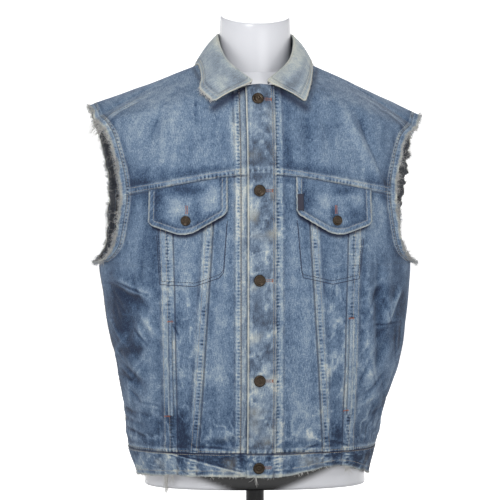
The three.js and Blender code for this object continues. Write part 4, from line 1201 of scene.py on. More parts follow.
def addTab():
    u, t = np.meshgrid(np.linspace(0, 1, 6), np.linspace(0, 1, 14))
    x = lerp(tab["inner"], tab["outer"], u)
    level = lerp(tab["low"], tab["high"], t)
    share = shareAt("front", x, level)
    lift = flap["lift"] + tab["lift"] + tab["swell"] * (1 - t) ** 1.5 + 0.2 * np.sin(t * 7)
    point, normal = bodySurface("front", share, level)
    lift = lift + creaseHeight(point, creases) * flap["creased"]
    blank = 0 * level
    return clothGrid("flapTab", point + normal * lift[..., None], normal, np.stack([x, level], axis=-1),
                     (blank, blank, blank), ["flap_tab"], tab["thickness"], material=tapeMaterial)


flapPatchColumns = ["sign", "x", "z", "wide", "high", "fade"]
flapPatches = namedRows(flapPatchColumns, [
    (-1, 71, 584, 14, 16, 0.22), (-1, 148, 582, 10, 18, -0.16), (-1, 112, 594, 26, 8, -0.24),
    (-1, 124, 566, 10, 14, 0.12), (-1, 96, 560, 8, 18, -0.16), (1, 143, 582, 14, 12, 0.14),
    (1, 92, 582, 12, 14, 0.2), (1, 104, 562, 6, 16, -0.2),
    (1, 66, 580, 8, 18, -0.18), (1, 120, 592, 22, 7, -0.2), (1, 134, 556, 12, 12, -0.1),
])


def addFlaps():
    for word, sign in (("left", -1), ("right", 1)):
        u, t = np.meshgrid(spacing(112, 1.2, 2.2), spacing(60, 1.2, 2.0))
        x, share, level, lift = flapPlace(sign, u, t)
        point, normal = bodySurface("front", share, level)
        soft = creaseHeight(point, creases) * flap["creased"]
        edge = flapEdge(x, level)
        rung = rungs(edge, x + level * 0.6, 71 + sign, 0, 8)
        lift = lift + soft + 0.3 * rung + 0.4 * bell(edge - 4, 4)
        fade = 0.4 + 0.14 * bell(x - 108, 26) * bell(level - 560, 24) + worn(0.16, 26, 72 + sign, point)
        fade = fade + worn(0.1, 8, 74, point) + 0.13 * rung + 0.34 * bell(edge, 1.5) + 0.16 * bell(edge - 7.5, 1.2)
        fade = fade - 0.12 * bell(edge - 11, 3)
        for patch in flapPatches:
            if patch["sign"] == sign:
                spot = bell(x - patch["x"], patch["wide"]) * bell(level - patch["z"], patch["high"])
                fade = fade + 1.4 * patch["fade"] * spot
        dark = 0.45 * bell(edge - 9.4, 1.1) + 0.5 * bell(yokeTable(x)["level"] - level, 2.2)
        soil = 0.35 * bell(edge, 1.4)
        flat = np.stack([x, level], axis=-1)
        piece = clothGrid("pocketFlap" + word.capitalize(), point + normal * lift[..., None], normal, flat,
                          (fade, dark, soil), ["pocket_flap_" + word], flap["thickness"])
        [addTab()] if sign > 0 else []


# Hand pocket edges along the outer seams
welt = dict(low=262, high=404, inner=-4, outer=3, lift=2.5)


def addWelts():
    for word, sign in (("left", -1), ("right", 1)):
        u, t = np.meshgrid(np.linspace(0, 1, 10), np.linspace(0, 1, 70))
        level = lerp(welt["low"], welt["high"], t)
        offset = lerp(welt["inner"], welt["outer"], u)
        x = vSeam("outer", level) + offset
        share = shareAt("front", sign * x, level)
        point, normal = bodySurface("front", share, level)
        rung = rungs(offset, level, 81 + sign, welt["inner"], welt["outer"])
        lift = clothLook("front", share, level, point)[0] + welt["lift"] + 0.35 * rung
        pale = 0.16 if sign > 0 else 0.06
        fade = 0.5 + pale + 0.05 * rung + worn(0.14, 18, 82, point) + 0.14 * bell(offset - 2.6, 0.8)
        dark = (0.7 if sign < 0 else 0.3) * bell(offset - 0.4, 0.7) + 0.3 * bell(offset + 3.8, 0.6)
        flat = np.stack([x, level], axis=-1)
        piece = clothGrid("handPocketWelt" + word.capitalize(), point + normal * lift[..., None], normal, flat,
                          (fade, dark, 0.15 * bell(offset - 2.6, 1.2)), ["hand_pocket_welt_" + word])


addFlaps()
addWelts()
print("flaps and pocket edges ready")


# Smooth line through named points, evenly tight whatever their spacing
def smoothLine(points):
    p = np.array(points, float)
    count = len(p)
    p = np.vstack([p, p[-2] * [-1, 1, 1]])
    before = np.vstack([2 * p[0] - p[1], p])
    after = np.vstack([p, 2 * p[-1] - p[-2]])

    def read(t):
        at = np.clip(np.asarray(t, float), 0, 1) * (count - 1)
        i = np.minimum(np.floor(at).astype(int), count - 1)
        w = (at - i)[..., None]
        a, b, c, d = before[i], p[i], after[i + 1], after[np.minimum(i + 2, count)]
        ab, bc, cd = [np.maximum(np.linalg.norm(m - n, axis=-1, keepdims=True), 1e-6) ** 0.5
                      for m, n in ((b, a), (c, b), (d, c))]
        start = ((b - a) / ab - (c - a) / (ab + bc) + (c - b) / bc) * bc
        end = ((c - b) / bc - (d - b) / (bc + cd) + (d - c) / cd) * bc
        return (b + start * w + (-3 * b + 3 * c - 2 * start - end) * w ** 2
                + (2 * b - 2 * c + start + end) * w ** 3)
    return read


def onCloth(face, x, z, lift):
    level = levelAt(face, np.array(float(x)), np.array(float(z)))
    point, normal = bodySurface(face, shareAt(face, np.array(float(x)), level), level)
    return point + normal * (lift + creaseHeight(point[None], creases)[0])


# Collar: fold, foot of the stand and outer edge, from the front end to the back centre
collarFold = smoothLine([[12, -91, 754], [45, -64, 782], [57, -12, 818], [46, 37, 824], [0, 57.5, 826]])
collarFoot = smoothLine([[12, -84.5, 750], [52, -58, 767], [83, -4, 783], [62, 40, 789], [0, 58, 790]])
collarEdge = smoothLine([onCloth(*row) for row in (
    ("front", 66, 719, 4.2), ("front", 72, 735, 4.6), ("front", 78, 751, 5), ("front", 84, 774, 4.6),
    ("back", 86, 766, 4.6), ("back", 68, 757, 4.6), ("back", 36, 753, 4.6), ("back", 0, 753, 5))])
collarLook = dict(roll=2.0, thickness=1.8, halfLength=215, leafLength=56, stitchInset=6.4, wider=13.0,
                  edgeStrands=560, torn=90, radius=0.3)


# v runs round the neck from -1 to 1; w runs from the outer edge to the fold (1), over it (2) and down the stand (3)
def collarPoint(v, w):
    t = 1 - np.abs(v)
    side = np.where(v < 0, -1.0, 1.0)
    fold, edge, foot = collarFold(t), collarEdge(t), collarFoot(t)
    wider = np.where(v < 0, collarLook["wider"], 0.0) * bell(t - 0.17, 0.12)
    edge = edge + np.stack([wider - 3 * bell(t, 0.02), 0 * t, 4 * bell(t, 0.02)], axis=-1)
    out = unit(fold * [1, 1, 0])
    up = np.array([0, 0, 1.0])
    roll = collarLook["roll"]
    leafTop = fold + out * roll
    rise = (1 - 0.8 * np.abs(v) ** 6)[..., None]
    first = leafTop + out * 9 * rise - up * 5
    second = edge + (fold - edge) * 0.4 + out * 5 + up * 5
    s = np.clip(w, 0, 1)[..., None]
    leaf = (edge * (1 - s) ** 3 + 3 * second * s * (1 - s) ** 2 + 3 * first * s ** 2 * (1 - s) + leafTop * s ** 3)
    turn = (np.clip(w - 1, 0, 1) * math.pi)[..., None]
    over = fold + out * roll * np.cos(turn) + up * roll * np.sin(turn)
    inner = fold - out * roll
    down = np.clip(w - 2, 0, 1)[..., None]
    stand = inner + (foot - out * 2.2 - inner) * down
    point = np.where(s < 1, leaf, np.where(turn < math.pi, over, stand))
    return point * np.stack([side, 1 + 0 * side, 1 + 0 * side], axis=-1)


def gridNormals(points):
    return unit(np.cross(np.gradient(points, axis=1), np.gradient(points, axis=0)))


def collarFray():
    paths = []
    for _ in range(collarLook["edgeStrands"]):
        if random.random() < 0.72:
            v = random.uniform(-0.998, 0.998)
            w = random.uniform(0, 0.02)
            inside = collarPoint(np.array(v), np.array(w + 0.12))
        else:
            v = random.choice([-1.0, 1.0]) * random.uniform(0.992, 1)
            w = random.uniform(0, 0.9)
            inside = collarPoint(np.array(v * 0.95), np.array(w))
        root = collarPoint(np.array(v), np.array(w))
        aim = unit(unit(root - inside) + random.normal(0, 0.5, 3))
        paths.append(strand(root - aim * 0.4, aim, random.uniform(0.8, 2.6), random.normal(0, 0.5, 3), 0.3))
    for _ in range(collarLook["torn"]):
        v = -random.uniform(0.8, 0.97)
        root = collarPoint(np.array(v), np.array(random.uniform(0, 0.04)))
        aim = unit(np.array([random.normal(-0.3, 0.5), -0.3, random.normal(-0.9, 0.4)]))
        paths.append(strand(root, aim, random.uniform(2, 7), random.normal(0, 1.2, 3), 0.5))
    stray = collarPoint(np.array(0.6), np.array(0.02))
    paths.append(stray + np.array([[0, 0, 0], [5, -1, 3.5], [11, -1.5, 5], [17, -1, 5.6], [21, -1, 5]]))
    return addObject("collarFray", threadMesh("collarFray", paths, collarLook["radius"], True), frayMaterial)


def addCollar():
    w = np.concatenate([spacing(60, 1.3, 2.4), 1 + np.linspace(0, 1, 8)[1:], 2 + np.linspace(0, 1, 14)[1:]])
    v, w = np.meshgrid(2 * spacing(430, 1.4, 2.6) - 1, w)
    point = collarPoint(v, w)
    normal = gridNormals(point)
    away = point - np.array([0, 0, 770.0])
    normal = np.where(np.sum(normal[5] * away[5], axis=-1).mean() < 0, -normal, normal)
    edge = np.minimum(np.clip(w, 0, 1) * collarLook["leafLength"], (1 - np.abs(v)) * collarLook["halfLength"])
    along = v * collarLook["halfLength"]
    leaf = np.clip(1 - np.maximum(w - 1, 0), 0, 1)
    rung = rungs(edge, along, 91, 0, 7) * leaf
    lift = 0.3 * rung + 0.9 * layeredNoise(point, 26, 92, 2) * np.clip(w, 0, 1) * leaf
    fade = 0.68 + worn(0.22, 30, 93, point) + worn(0.14, 9, 94, point) + 0.08 * rung
    fade = fade + 0.36 * bell(edge, 1.8) * leaf + 0.16 * bell(edge - 7, 1.2) * leaf + 0.22 * bell(w - 1.4, 0.5)
    fade = fade - 0.16 * (w > 2) - 0.04
    fade = fade + 0.1 * smoothStep(v, 0.3, 0.6) - 0.3 * bell(w - 0.4, 0.14) * smoothStep(v, 0.55, 0.75)
    fade = fade - 0.14 * bell(w - 0.6, 0.2) * smoothStep(-v, 0.5, 0.8)
    dark = 0.35 * bell(edge - 9, 1.3) * leaf + 0.3 * bell(w - 3, 0.2)
    soil = 0.4 * bell(edge, 1.8) * leaf + 0.2 * bell(w - 1.4, 0.5) + 0.18
    soil = soil + 0.3 * smoothStep(worn(1, 40, 95, point), 0, 0.8)
    flat = np.stack([along, w * 40], axis=-1)
    piece = clothGrid("collarPiece", point + normal * lift[..., None], normal, flat, (fade, dark, soil), ["collar"],
                      collarLook["thickness"])
    collarFray()


addCollar()
print("collar ready")


# What is left of the cut sleeves; at the picture's right its back half stands out further
stub = dict(width=11, thickness=2.2, flare=1.6, flareLevel=612, flareWidth=80)


def smoothRing(vectors, times):
    for _ in range(times):
        vectors = unit(np.roll(vectors, 1, axis=0) + vectors + np.roll(vectors, -1, axis=0))
    return vectors


# Armholes: a closed ring of stations with the directions out of the armhole and off the cloth
def armholeRing(side, count=210):
    ends = np.array([armholeStart + 1.0, shoulderLevel])
    lengths = {face: alongEdge(face, ends) for face in sections}
    total = {face: lengths[face][1] - lengths[face][0] for face in sections}
    levels = {}
    for face in sections:
        steps = np.linspace(0, 1, int(count * total[face] / sum(total.values())) + 1)
        levels[face] = np.interp(lengths[face][0] + steps * total[face], armholeLengths[face], girthLevels)
    marks = [("front", z) for z in levels["front"]] + [("back", z) for z in levels["back"][::-1][1:-1]]
    points, outward = [], []
    for face in ("front", "back"):
        z = np.array([level for f, level in marks if f == face])
        share = np.full(len(z), float(side))
        points.append(clothAt(face, share, z)[0])
        outward.append(unit(bodyPoint(face, share, z) - bodyPoint(face, share * 0.98, z)))
    point = np.vstack(points)
    across = smoothRing(np.vstack(outward), 2)
    along = unit(np.roll(point, -1, axis=0) - np.roll(point, 1, axis=0))
    drop = np.interp(point[:, 2], [482, 720], [-0.12, -0.5])
    away = unit(np.stack([np.full(len(point), side * 1.3), 0 * drop, drop * 1.3], axis=-1) + across)
    normal = unit(np.cross(along, away))
    inward = normal[:, 1] * point[:, 1] + normal[:, 2] * (point[:, 2] - 600) < 0
    normal = smoothRing(np.where(inward[:, None], -normal, normal), 3)
    if side > 0:
        level = np.array([z for f, z in marks])
        flare = stub["flare"] * bell(level - stub["flareLevel"], stub["flareWidth"])
        away = away * (1 + flare * np.array([f == "back" for f, z in marks]))[:, None]
    length = np.concatenate([[0], np.cumsum(np.linalg.norm(np.diff(point, axis=0), axis=1))])
    return point, away, normal, length


rings = {side: armholeRing(side) for side in (-1, 1)}


def stubWidthAt(side, length):
    torn = smoothStep(waver(length, 101 + side, 19), 0.1, 0.8)
    return stub["width"] - 2.6 * torn + 1.4 * waver(length, 103 + side, 6)


# Short curls, tufts of longer ones, and bundles of strands given by level, count and length
frayLook = dict(curls=3700, tufts=34, tuftCurls=14, longest={-1: 8.5, 1: 7.5}, blueShare=0.32, radius=0.24, bundles={
    -1: [(694, 60, 24), (620, 6, 10), (540, 8, 10)], 1: [(690, 5, 10), (560, 5, 9), (640, 3, 8)]})


def armholeFray(side, word):
    point, away, normal, length = rings[side]
    paths, blues = [], []
    for _ in range(frayLook["curls"]):
        k = random.integers(len(point))
        reach = stubWidthAt(side, length)[k]
        root = point[k] + away[k] * (reach - random.uniform(0.2, 3.4)) + normal[k] * random.uniform(-2.0, 0.2)
        tangent = point[(k + 1) % len(point)] - point[k - 1]
        tangent = tangent / np.linalg.norm(tangent)
        thick = 1.15 + 0.85 * waver(length[k:k + 1], 111 + side, 14)[0]
        size = random.uniform(2, frayLook["longest"][side]) * thick
        size += random.uniform(2, 7) if random.random() < 0.04 else 0
        aim = unit(unit(away[k]) * random.uniform(-0.2, 1.2) + tangent * random.normal(0, 0.8)
                   + normal[k] * random.normal(0.4, 0.5))
        (blues if random.random() < frayLook["blueShare"] else paths).append(curl(root, aim, size))
    for _ in range(frayLook["tufts"]):
        k = random.integers(len(point))
        root = point[k] + away[k] * (stubWidthAt(side, length)[k] - 1.5)
        for _ in range(frayLook["tuftCurls"]):
            aim = unit(unit(away[k]) * random.uniform(-0.3, 1) + random.normal(0, 0.7, 3) + normal[k] * 0.4)
            paths.append(curl(root + random.normal(0, 1.3, 3), aim, random.uniform(4, 12)))
    for z, count, size in frayLook["bundles"][side]:
        k = int(np.argmin(np.abs(point[:, 2] - z) + (point[:, 1] > 0) * 1e3))
        for _ in range(count):
            n = (k + random.integers(-3, 4)) % len(point)
            root = point[n] + away[n] * (stub["width"] - 1.5) - normal[n] * 0.8
            paths.append(strand(root, unit(away[n] + random.normal(0, 0.3, 3)), size * random.uniform(0.5, 1),
                                random.normal(0, 2, 3), size * random.uniform(0.2, 0.7), 7))
    pieces = []
    for kind, strands, material, nodes in (("armholeFray", paths, frayMaterial, ["armhole_fray_" + word]),
                                           ("armholeFrayBlue", blues, blueFray, [])):
        name = kind + word.capitalize()
        mesh = threadMesh(name, strands, frayLook["radius"], True)
        pieces.append(addObject(name, mesh, material, nodes))
    return pieces


def addCutSleeves():
    for word, side in (("left", -1), ("right", 1)):
        point, away, normal, length = rings[side]
        steps = np.array([0, 0.05, 0.12, 0.2, 0.3, 0.4, 0.5, 0.6, 0.7, 0.78, 0.86, 0.93, 1])[:, None]
        width = stubWidthAt(side, length)[None, :]
        distance = 0.2 + steps * width
        rung = rungs(distance, length[None, :] + 0 * distance, 105 + side, 0, 6)
        lift = 0.55 * rung + 1.1 * waver(length, 107 + side, 15)[None, :] * steps ** 2
        where = point[None] + away[None] * distance[..., None] + normal[None] * lift[..., None]
        fade = 0.5 + 0.12 * rung + worn(0.3, 12, 108, where) + 0.4 * smoothStep(steps, 0.4, 1)
        fade = fade + 0.14 * bell(distance - 2, 1.2)
        dark = 0.6 * bell(distance, 1.3)
        soil = 0.6 * smoothStep(steps, 0.5, 1) + 0 * dark
        flat = np.stack([length[None, :] + 0 * distance, distance], axis=-1)
        grids = [np.concatenate([g, g[:, :1]], axis=1) for g in (where, np.broadcast_to(normal, where.shape), flat)]
        wearAndShade = [np.concatenate([g, g[:, :1]], axis=1) for g in (fade, dark, soil)]
        piece = clothGrid("cutSleeve" + word.capitalize(), grids[0], grids[1], grids[2], wearAndShade, ["cut_sleeve_" + word],
                          stub["thickness"], ring=True)
        armholeFray(side, word)


addCutSleeves()
print("cut sleeves ready")


# Dress form: half width, and how far its front and back lie inside the vest
formSizes = makeTable(["level", "half", "front", "back"], [
    [150, 166.5, 10, 8], [204, 164, 16, 18], [260, 166, 21, 24], [320, 172, 24, 26], [400, 180, 20, 22],
    [482, 186, 14, 15], [560, 188, 12, 12], [620, 188, 11, 11], [652, 190, 9, 9], [700, 194, 6, 7],
    [745, 199, 4, 6], [780, 202, 3, 4], [809, 203, 2, 2]])


dressForm = dict(shoulderDrop=4.4, points=144, neckRadius=54, shadeBelow=240, darkest=0.985)


def formLoop(level, inset):
    size = formSizes(np.array(float(level)))
    rows = {face: sections[face](np.array(float(level))) for face in sections}
    sideZ = (rows["front"]["endZ"] + rows["back"]["endZ"]) / 2
    drop = dressForm["shoulderDrop"] * smoothStep(np.array(level), 620, 700)
    follows = smoothStep(np.array(level), 600, 690)

    def depth(face, x):
        row = rows[face]
        cut = min(size[face] + inset, abs(row["centreY"]))
        cosine = np.cos(np.arcsin(np.minimum(x / row["right"], 1) ** (power / 2)))
        centre = row["centreY"] - np.sign(row["centreY"]) * cut
        return row["sideY"] + (centre - row["sideY"]) * cosine ** (2 / power)

    def arc(face, share):
        row = rows[face]
        angle = np.abs(share) * np.pi / 2
        x = (size["half"] - inset) * np.sin(angle) ** (2 / power)
        oval = row["sideY"] + (depth(face, 0.0) - row["sideY"]) * np.maximum(np.cos(angle), 0) ** (2 / power)
        middle = (depth("front", x) + depth("back", x)) / 2
        nested = middle + (depth(face, x) - middle) * np.sqrt(np.maximum(1 - np.abs(share) ** 6, 0))
        endZ = row["endZ"] + (sideZ - row["endZ"]) * np.abs(share) ** 8
        z = level + (endZ - level) * (x / (row["right"] * row["endShare"])) ** slopePower - drop
        z = np.where(share < 0, z, z - droop(x, level))
        return np.stack([np.sign(share) * x, lerp(oval, nested, follows), z], axis=-1)

    share = np.linspace(-1, 1, dressForm["points"] // 2 + 1)
    return np.vstack([arc("front", share), arc("back", -share)[1:-1]])


# Closed skin through rings of points
def loftMesh(name, levels):
    skin = bmesh.new()
    loops = [[skin.verts.new(p * mm) for p in ring] for ring in levels]
    for low, high in zip(loops[:-1], loops[1:]):
        for i in range(len(low)):
            n = (i + 1) % len(low)
            skin.faces.new((low[i], low[n], high[n], high[i]))
    skin.faces.new(loops[0][::-1])
    skin.faces.new(loops[-1])
    bmesh.ops.recalc_face_normals(skin, faces=skin.faces[:])
    return freedMesh(name, skin)


# Circle of points, tilted by a rise at its back
def circle(radius, z, count=64, tilt=0.0):
    turn = np.linspace(0, 2 * np.pi, count + 1)[:-1]
    return np.stack([radius * np.cos(turn), radius * np.sin(turn), z + tilt * radius * np.sin(turn)], axis=-1)


def addForm():
    levels = list(np.arange(156, 184, 4)) + list(np.arange(184, 600, 8)) + list(np.arange(600, 806, 5)) + [807]
    torso = [formLoop(level, inset) for level, inset in ((150, 5), (150.7, 2.4), (152, 1), (154, 0.2))]
    torso += [formLoop(level, 0) for level in levels]
    shell = addObject("formTorso", loftMesh("formTorso", torso), formMaterial, ["dress_form"])
    place = np.array([v.co[:] for v in shell.data.vertices]) / mm
    fromLeft = place[:, 0] + 120 - (178 - place[:, 2]) * 2.6
    fromRight = 116 - (184 - place[:, 2]) * 2.5 - place[:, 0]
    under = smoothStep(fromLeft, -16, 20) * smoothStep(fromRight, -16, 20)
    under = np.minimum(under * (place[:, 1] < 20) * (place[:, 2] < dressForm["shadeBelow"]), dressForm["darkest"])
    paintVertices(shell.data, "shade", [under, under, under])
    neck = [circle(dressForm["neckRadius"] - inset, z, 96, tilt) for z, inset, tilt in (
        (700, 0, 0), (784, 0, 0), (800, 0.1, 0.04), (820, 0.4, 0.09), (836, 1.2, 0.18), (849, 2.1, 0.27),
        (850.4, 2.5, 0.27), (851.3, 3.2, 0.27), (851.8, 4, 0.27), (852, 5, 0.27))]
    addObject("formNeck", loftMesh("formNeck", neck), formMaterial)


stand = dict(poleRadius=13.5, poleLow=8.3, poleHigh=149.7,
             base=[(148.5, 0), (150, 1.2), (150, 5), (149.1, 7.1), (147, 8)])


def addStand():
    pole = [circle(stand["poleRadius"], z) for z in (stand["poleLow"], stand["poleHigh"])]
    base = [circle(radius, z) for radius, z in stand["base"]]
    for name, levels, node in (("standPole", pole, "stand_pole"), ("standBase", base, "stand_base")):
        addObject(name, loftMesh(name, levels), standMaterial, [node])
    for name in ("standPole", "standBase", "formNeck"):
        piece = bpy.data.objects[name]
        sharp = piece.modifiers.new("edges", "EDGE_SPLIT")
        sharp.split_angle = math.radians(38)


addForm()
addStand()
print("form and stand ready")


# Metal buttons, spun from one profile
button = dict(levels=[726, 593, 462, 315.5, 187], x=-3.5, flapX=109.5, flapLevel=549.0, flapSize=0.86, profile=[
    (0.0, 2.9), (1.6, 3.0), (2.2, 3.5), (2.9, 3.0), (4.6, 2.8), (5.6, 3.3), (6.4, 3.7),
                                   (7.4, 3.6), (8.2, 3.1), (8.7, 2.3), (8.5, 1.6), (7.6, 1.1), (4.6, 1.1), (4.6, -0.6)])


def spun(profile, steps):
    solid = bmesh.new()
    verts = [solid.verts.new((r, 0, z)) for r, z in profile]
    edges = [solid.edges.new(pair) for pair in zip(verts[:-1], verts[1:])]
    bmesh.ops.spin(solid, geom=verts + edges, cent=(0, 0, 0), axis=(0, 0, 1), angle=2 * math.pi, steps=steps,
                   use_merge=True)
    return solid


def buttonMesh(name, place, normal, size=1.0):
    solid = spun([(r * size * mm, h * mm) for r, h in button["profile"]], 40)
    bmesh.ops.remove_doubles(solid, verts=solid.verts[:], dist=0.00001)
    bmesh.ops.recalc_face_normals(solid, faces=solid.faces[:])
    turn = Vector((0, 0, 1)).rotation_difference(Vector(normal)).to_matrix().to_4x4()
    bmesh.ops.transform(solid, matrix=Matrix.Translation(Vector(place * mm)) @ turn, verts=solid.verts[:])
    return freedMesh(name, solid)


def addButtons():
    for i, level in enumerate(button["levels"]):
        z = np.array(float(level))
        share = shareAt("front", np.array(button["x"]), z)
        lift = placket["lift"] + 0.5 + (1.8 if level < waistSeam else 0)
        point, normal = clothAt("front", share, z, lift)
        name = "frontButton%d" % (i + 1)
        addObject(name, buttonMesh(name, point, normal), bronzeMaterial, ["front_button_%d" % (i + 1)])
    for word, sign in (("left", -1), ("right", 1)):
        level = np.array(button["flapLevel"])
        share = shareAt("front", np.array(sign * button["flapX"]), level)
        point, normal = clothAt("front", share, level, 5.2)
        name = "flapButton" + word.capitalize()
        addObject(name, buttonMesh(name, point, normal, button["flapSize"]), bronzeMaterial,
                  ["flap_button_" + word])


addButtons()
print("buttons ready")


def addStitching():
    pale, dark = [], []
    onFell = fell["lift"] + 0.15
    levels = np.linspace(waistSeam + 2, 612, 180)
    for sign in (-1, 1):
        for offset in (1.8, 8.8):
            for which in ("inner", "outer"):
                top = 590 if which == "outer" else 604
                z = levels[levels < top]
                pale += stitches(bodyLine("front", sign * (vSeam(which, z) + offset), z, onFell))
        share = np.linspace(0.1, 0.995, 120) * sign
        for offset, lift in ((1.8, onFell), (8.0, fell["lift"] + 0.1)):
            pale += stitches(shareLine("front", share, yokeLevel(share) + offset, lift))
        for offset in (2.2, 8.4):
            for face in sections:
                z = np.linspace(486, 806, 160)
                edge = sign * (1 - offset / halfGirth(face, z))
                pale += stitches(shareLine(face, edge, z, 0.15))
        for offset in (2.0, 8.2):
            z = np.linspace(waistSeam + 2, 480, 120)
            pale += stitches(shareLine("back", sign * (1 - offset / halfGirth("back", z)), z, 0.15))
            z = np.linspace(waistSeam + 2, 600, 140)
            pale += stitches(bodyLine("back", sign * (backSeam(z) - offset), z, onFell))
    share = np.linspace(-0.995, 0.995, 240)
    for offset in (1.8, 8.0):
        pale += stitches(shareLine("back", share, backYokeLevel(share) + offset, onFell))
    for face in sections:
        for level, lift in ((waistSeam + 2.2, 0.2), (waistSeam - 2.0, band["lift"] + 0.2)):
            across = share[(share < -0.12) | (share > 0.14)] if face == "front" else share
            for part in (across[across < 0], across[across > 0]):
                rise = overlapRise(part) if face == "front" and level < waistSeam else 0
                pale += stitches(shareLine(face, part, level + 0 * part, lift + rise))
                if level < waistSeam:
                    pale += stitches(shareLine(face, part, hemLevel(face, part) + 9.5, lift + rise))
    z = np.linspace(waistSeam + 1, 745, 260)
    for x, lift in ((-18.8, placket["lift"]), (16.5, placket["lift"]), (19.6, placket["lift"]), (-30.6, 0)):
        pale += stitches(bodyLine("front", 0 * z + x, z, lift + 0.2))
    for x, z in (((-152.6, -148.2, -98.6, -62.5, -56.2, -51.1), (528, 455.5, 453, 465.7, 473, 545)),
                 ((52.6, 59.1, 61.2, 105.8, 144.8, 152.6), (545, 474.4, 465.7, 455.5, 462.8, 522))):
        dark.append(pouchLine(x, z))
        dark += stitches(pouchLine(np.array(x) * 0.985, np.array(z) + 5))
    for sign in (-1, 1):
        for inset in (1.7, 7.4):
            u = np.linspace(0, 1, 90)
            x = lerp(flap["inner"] + inset, flap["outer"] - inset, u)
            low = flapLow(x) + inset / flap["slope"]
            x = np.concatenate([[x[0]], x, [x[-1]]])
            low = np.concatenate([[yokeTable(x[0])["level"] - 3], low, [yokeTable(x[-1])["level"] - 3]])
            length = np.concatenate([[0], np.cumsum(np.hypot(np.diff(x), np.diff(low)))])
            at = np.linspace(0, length[-1], 130)
            x, low = np.interp(at, length, x), np.interp(at, length, low)
            t = (low - flapLow(x)) / (yokeTable(x)["level"] - flap["belowYoke"] - flapLow(x))
            u = (x - flap["inner"]) / (flap["outer"] - flap["inner"])
            _, share, level, lift = flapPlace(sign, u, t)
            point, normal = bodySurface("front", share, level)
            lift = lift + creaseHeight(point, creases) * flap["creased"] + 0.3
            pale += stitches(point + normal * lift[:, None])
    inset = collarLook["stitchInset"]
    end = 1 - inset / collarLook["halfLength"]
    start = inset / collarLook["leafLength"]
    v = np.linspace(-end, end, 260)
    pale += stitches(collarPoint(v, 0 * v + start) + unit(collarPoint(v, 0 * v) * [1, 1, 0]) * 0.35)
    for side in (-1, 1):
        w = np.linspace(start, 0.93, 40)
        pale += stitches(collarPoint(side * end + 0 * w, w) + np.array([0, -0.5, 0.2]))
    addObject("paleStitching", threadMesh("paleStitching", pale, stitch["radius"]), threadMaterial)
    addObject("pouchStitching", threadMesh("pouchStitching", dark, stitch["cord"]), darkThread)


addStitching()
print("stitching ready")


# Dense orange zigzags: buttonholes and bar tacks, from a middle, a direction across the cloth and a size
def zigzag(x, level, turn, length, wide, lift, rows):
    t = np.linspace(-1, 1, rows * 2 + 1)
    sideways = np.where(np.arange(len(t)) % 2, 1.0, -1.0) * wide / 2
    dx = t * length / 2 * math.cos(turn) - sideways * math.sin(turn)
    dz = t * length / 2 * math.sin(turn) + sideways * math.cos(turn)
    at = level + dz
    return clothAt("front", shareAt("front", x + dx, at), at, lift)[0]


hole = dict(x=9.0, apart=1.3, length=13, wide=1.3, rows=12, barX=15.5, barLength=4.4, barWide=1.4, barRows=6)
flapHole = dict(x=108.3, level=565, apart=1.1, length=12, wide=1.0, lift=5.4, rows=10)
pocketBars = dict(ends=[(-132.1, 401.5), (-135.5, 261.6), (132.4, 405.2), (125.6, 268.8)], length=8, wide=2.0,
                  lift=3.1, rows=9)


def addTacks():
    bars, holes = [], []
    for x, z in pocketBars["ends"]:
        bars.append(zigzag(x, z, 0.05, pocketBars["length"], pocketBars["wide"], pocketBars["lift"], pocketBars["rows"]))
    for level in button["levels"]:
        onBand = level < waistSeam
        lift = 4.2 if onBand else placket["lift"] + 0.35
        for side in (-1, 1):
            holes.append(zigzag(hole["x"], level + side * hole["apart"], 0.0, hole["length"], hole["wide"], lift,
                                hole["rows"]))
        if not onBand:
            bars.append(zigzag(hole["barX"], level, math.pi / 2, hole["barLength"], hole["barWide"],
                               placket["lift"] + 0.4, hole["barRows"]))
    for sign in (-1, 1):
        for side in (-1, 1):
            bars.append(zigzag(sign * flapHole["x"] + side * flapHole["apart"], flapHole["level"], math.pi / 2,
                               flapHole["length"], flapHole["wide"], flapHole["lift"], flapHole["rows"]))
    addObject("orangeTacks", threadMesh("orangeTacks", bars, 0.3), orangeThread)
    addObject("buttonholes", threadMesh("buttonholes", holes, 0.28), pinkThread)


addTacks()
print("tacks ready")


# Studio: pale floor that runs up into a backdrop and glows away from the stand, and broad soft lights
studio = dict(paper=(196, 196, 196), glow=0.95, world=0.12, floor=6, bend=2, wall=5, lights=[
    ("key", (-1.1, -2.7, 2.6), 1.1, 54), ("fill", (1.2, -3.2, 1.0), 1.6, 14), ("top", (0.0, -0.3, 3.0), 1.2, 17),
    ("back", (0.4, 2.8, 2.2), 1.8, 50)])


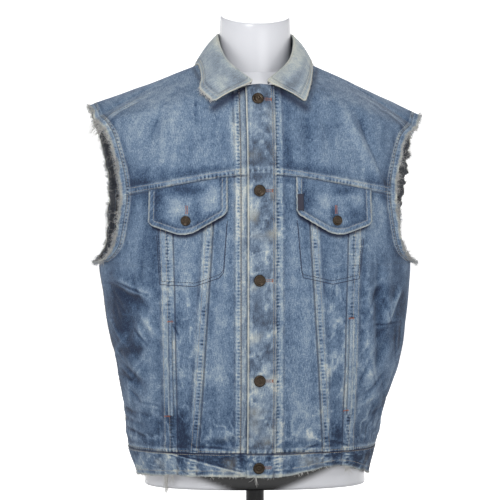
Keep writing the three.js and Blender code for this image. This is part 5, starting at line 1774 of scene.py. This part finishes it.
def addStudio():
    far, bend = studio["floor"], studio["bend"]
    reaches = [0.001, 0.2, 0.3, 0.4, 0.5, 0.6, 0.7, 0.8, 0.9, 1.1, 1.4, 1.8, 3, far]
    profile = [(reach, 0) for reach in reaches]
    profile += [(far + bend * math.sin(a), bend - bend * math.cos(a)) for a in np.linspace(0.15, math.pi / 2, 10)]
    profile += [(far + bend, z) for z in (2.3, 2.6, studio["wall"])]
    mesh = freedMesh("backdrop", spun(profile, 64))
    mesh.polygons.foreach_set("use_smooth", np.ones(len(mesh.polygons), bool))
    place = np.array([v.co[:] for v in mesh.vertices])
    glow = smoothStep(np.hypot(place[:, 0], place[:, 1]), 0.2, 1.3) * (1 - smoothStep(place[:, 2], 1.6, 2.6))
    paintVertices(mesh, "glow", [glow, glow, glow])
    floor = bpy.data.objects.new("backdrop", mesh)
    bpy.context.scene.collection.objects.link(floor)
    paper = plainMaterial("backdropPaper", studio["paper"], 0.95)
    tree = paper.node_tree
    glowNode = tree.nodes.new("ShaderNodeAttribute")
    glowNode.attribute_name = "glow"
    surface = tree.nodes["Principled BSDF"]
    strength = mathNode(tree, "MULTIPLY", glowNode.outputs["Fac"], studio["glow"])
    tree.links.new(strength, surface.inputs["Emission Strength"])
    surface.inputs["Emission Color"].default_value = (1, 1, 1, 1)
    floor.data.materials.append(paper)
    world = bpy.data.worlds.new("studio")
    world.use_nodes = True
    world.node_tree.nodes["Background"].inputs["Color"].default_value = (1, 1, 1, 1)
    world.node_tree.nodes["Background"].inputs["Strength"].default_value = studio["world"]
    bpy.context.scene.world = world
    for name, place, size, watts in studio["lights"]:
        data = bpy.data.lights.new(name, "AREA")
        data.size = size
        data.energy = watts
        lamp = bpy.data.objects.new(name, data)
        lamp.location = place
        lamp.rotation_euler = (Vector((0, 0, 0.5)) - Vector(place)).to_track_quat("-Z", "Y").to_euler()
        bpy.context.scene.collection.objects.link(lamp)


addStudio()
bpy.context.scene.view_settings.view_transform = "Standard"
print("studio ready")
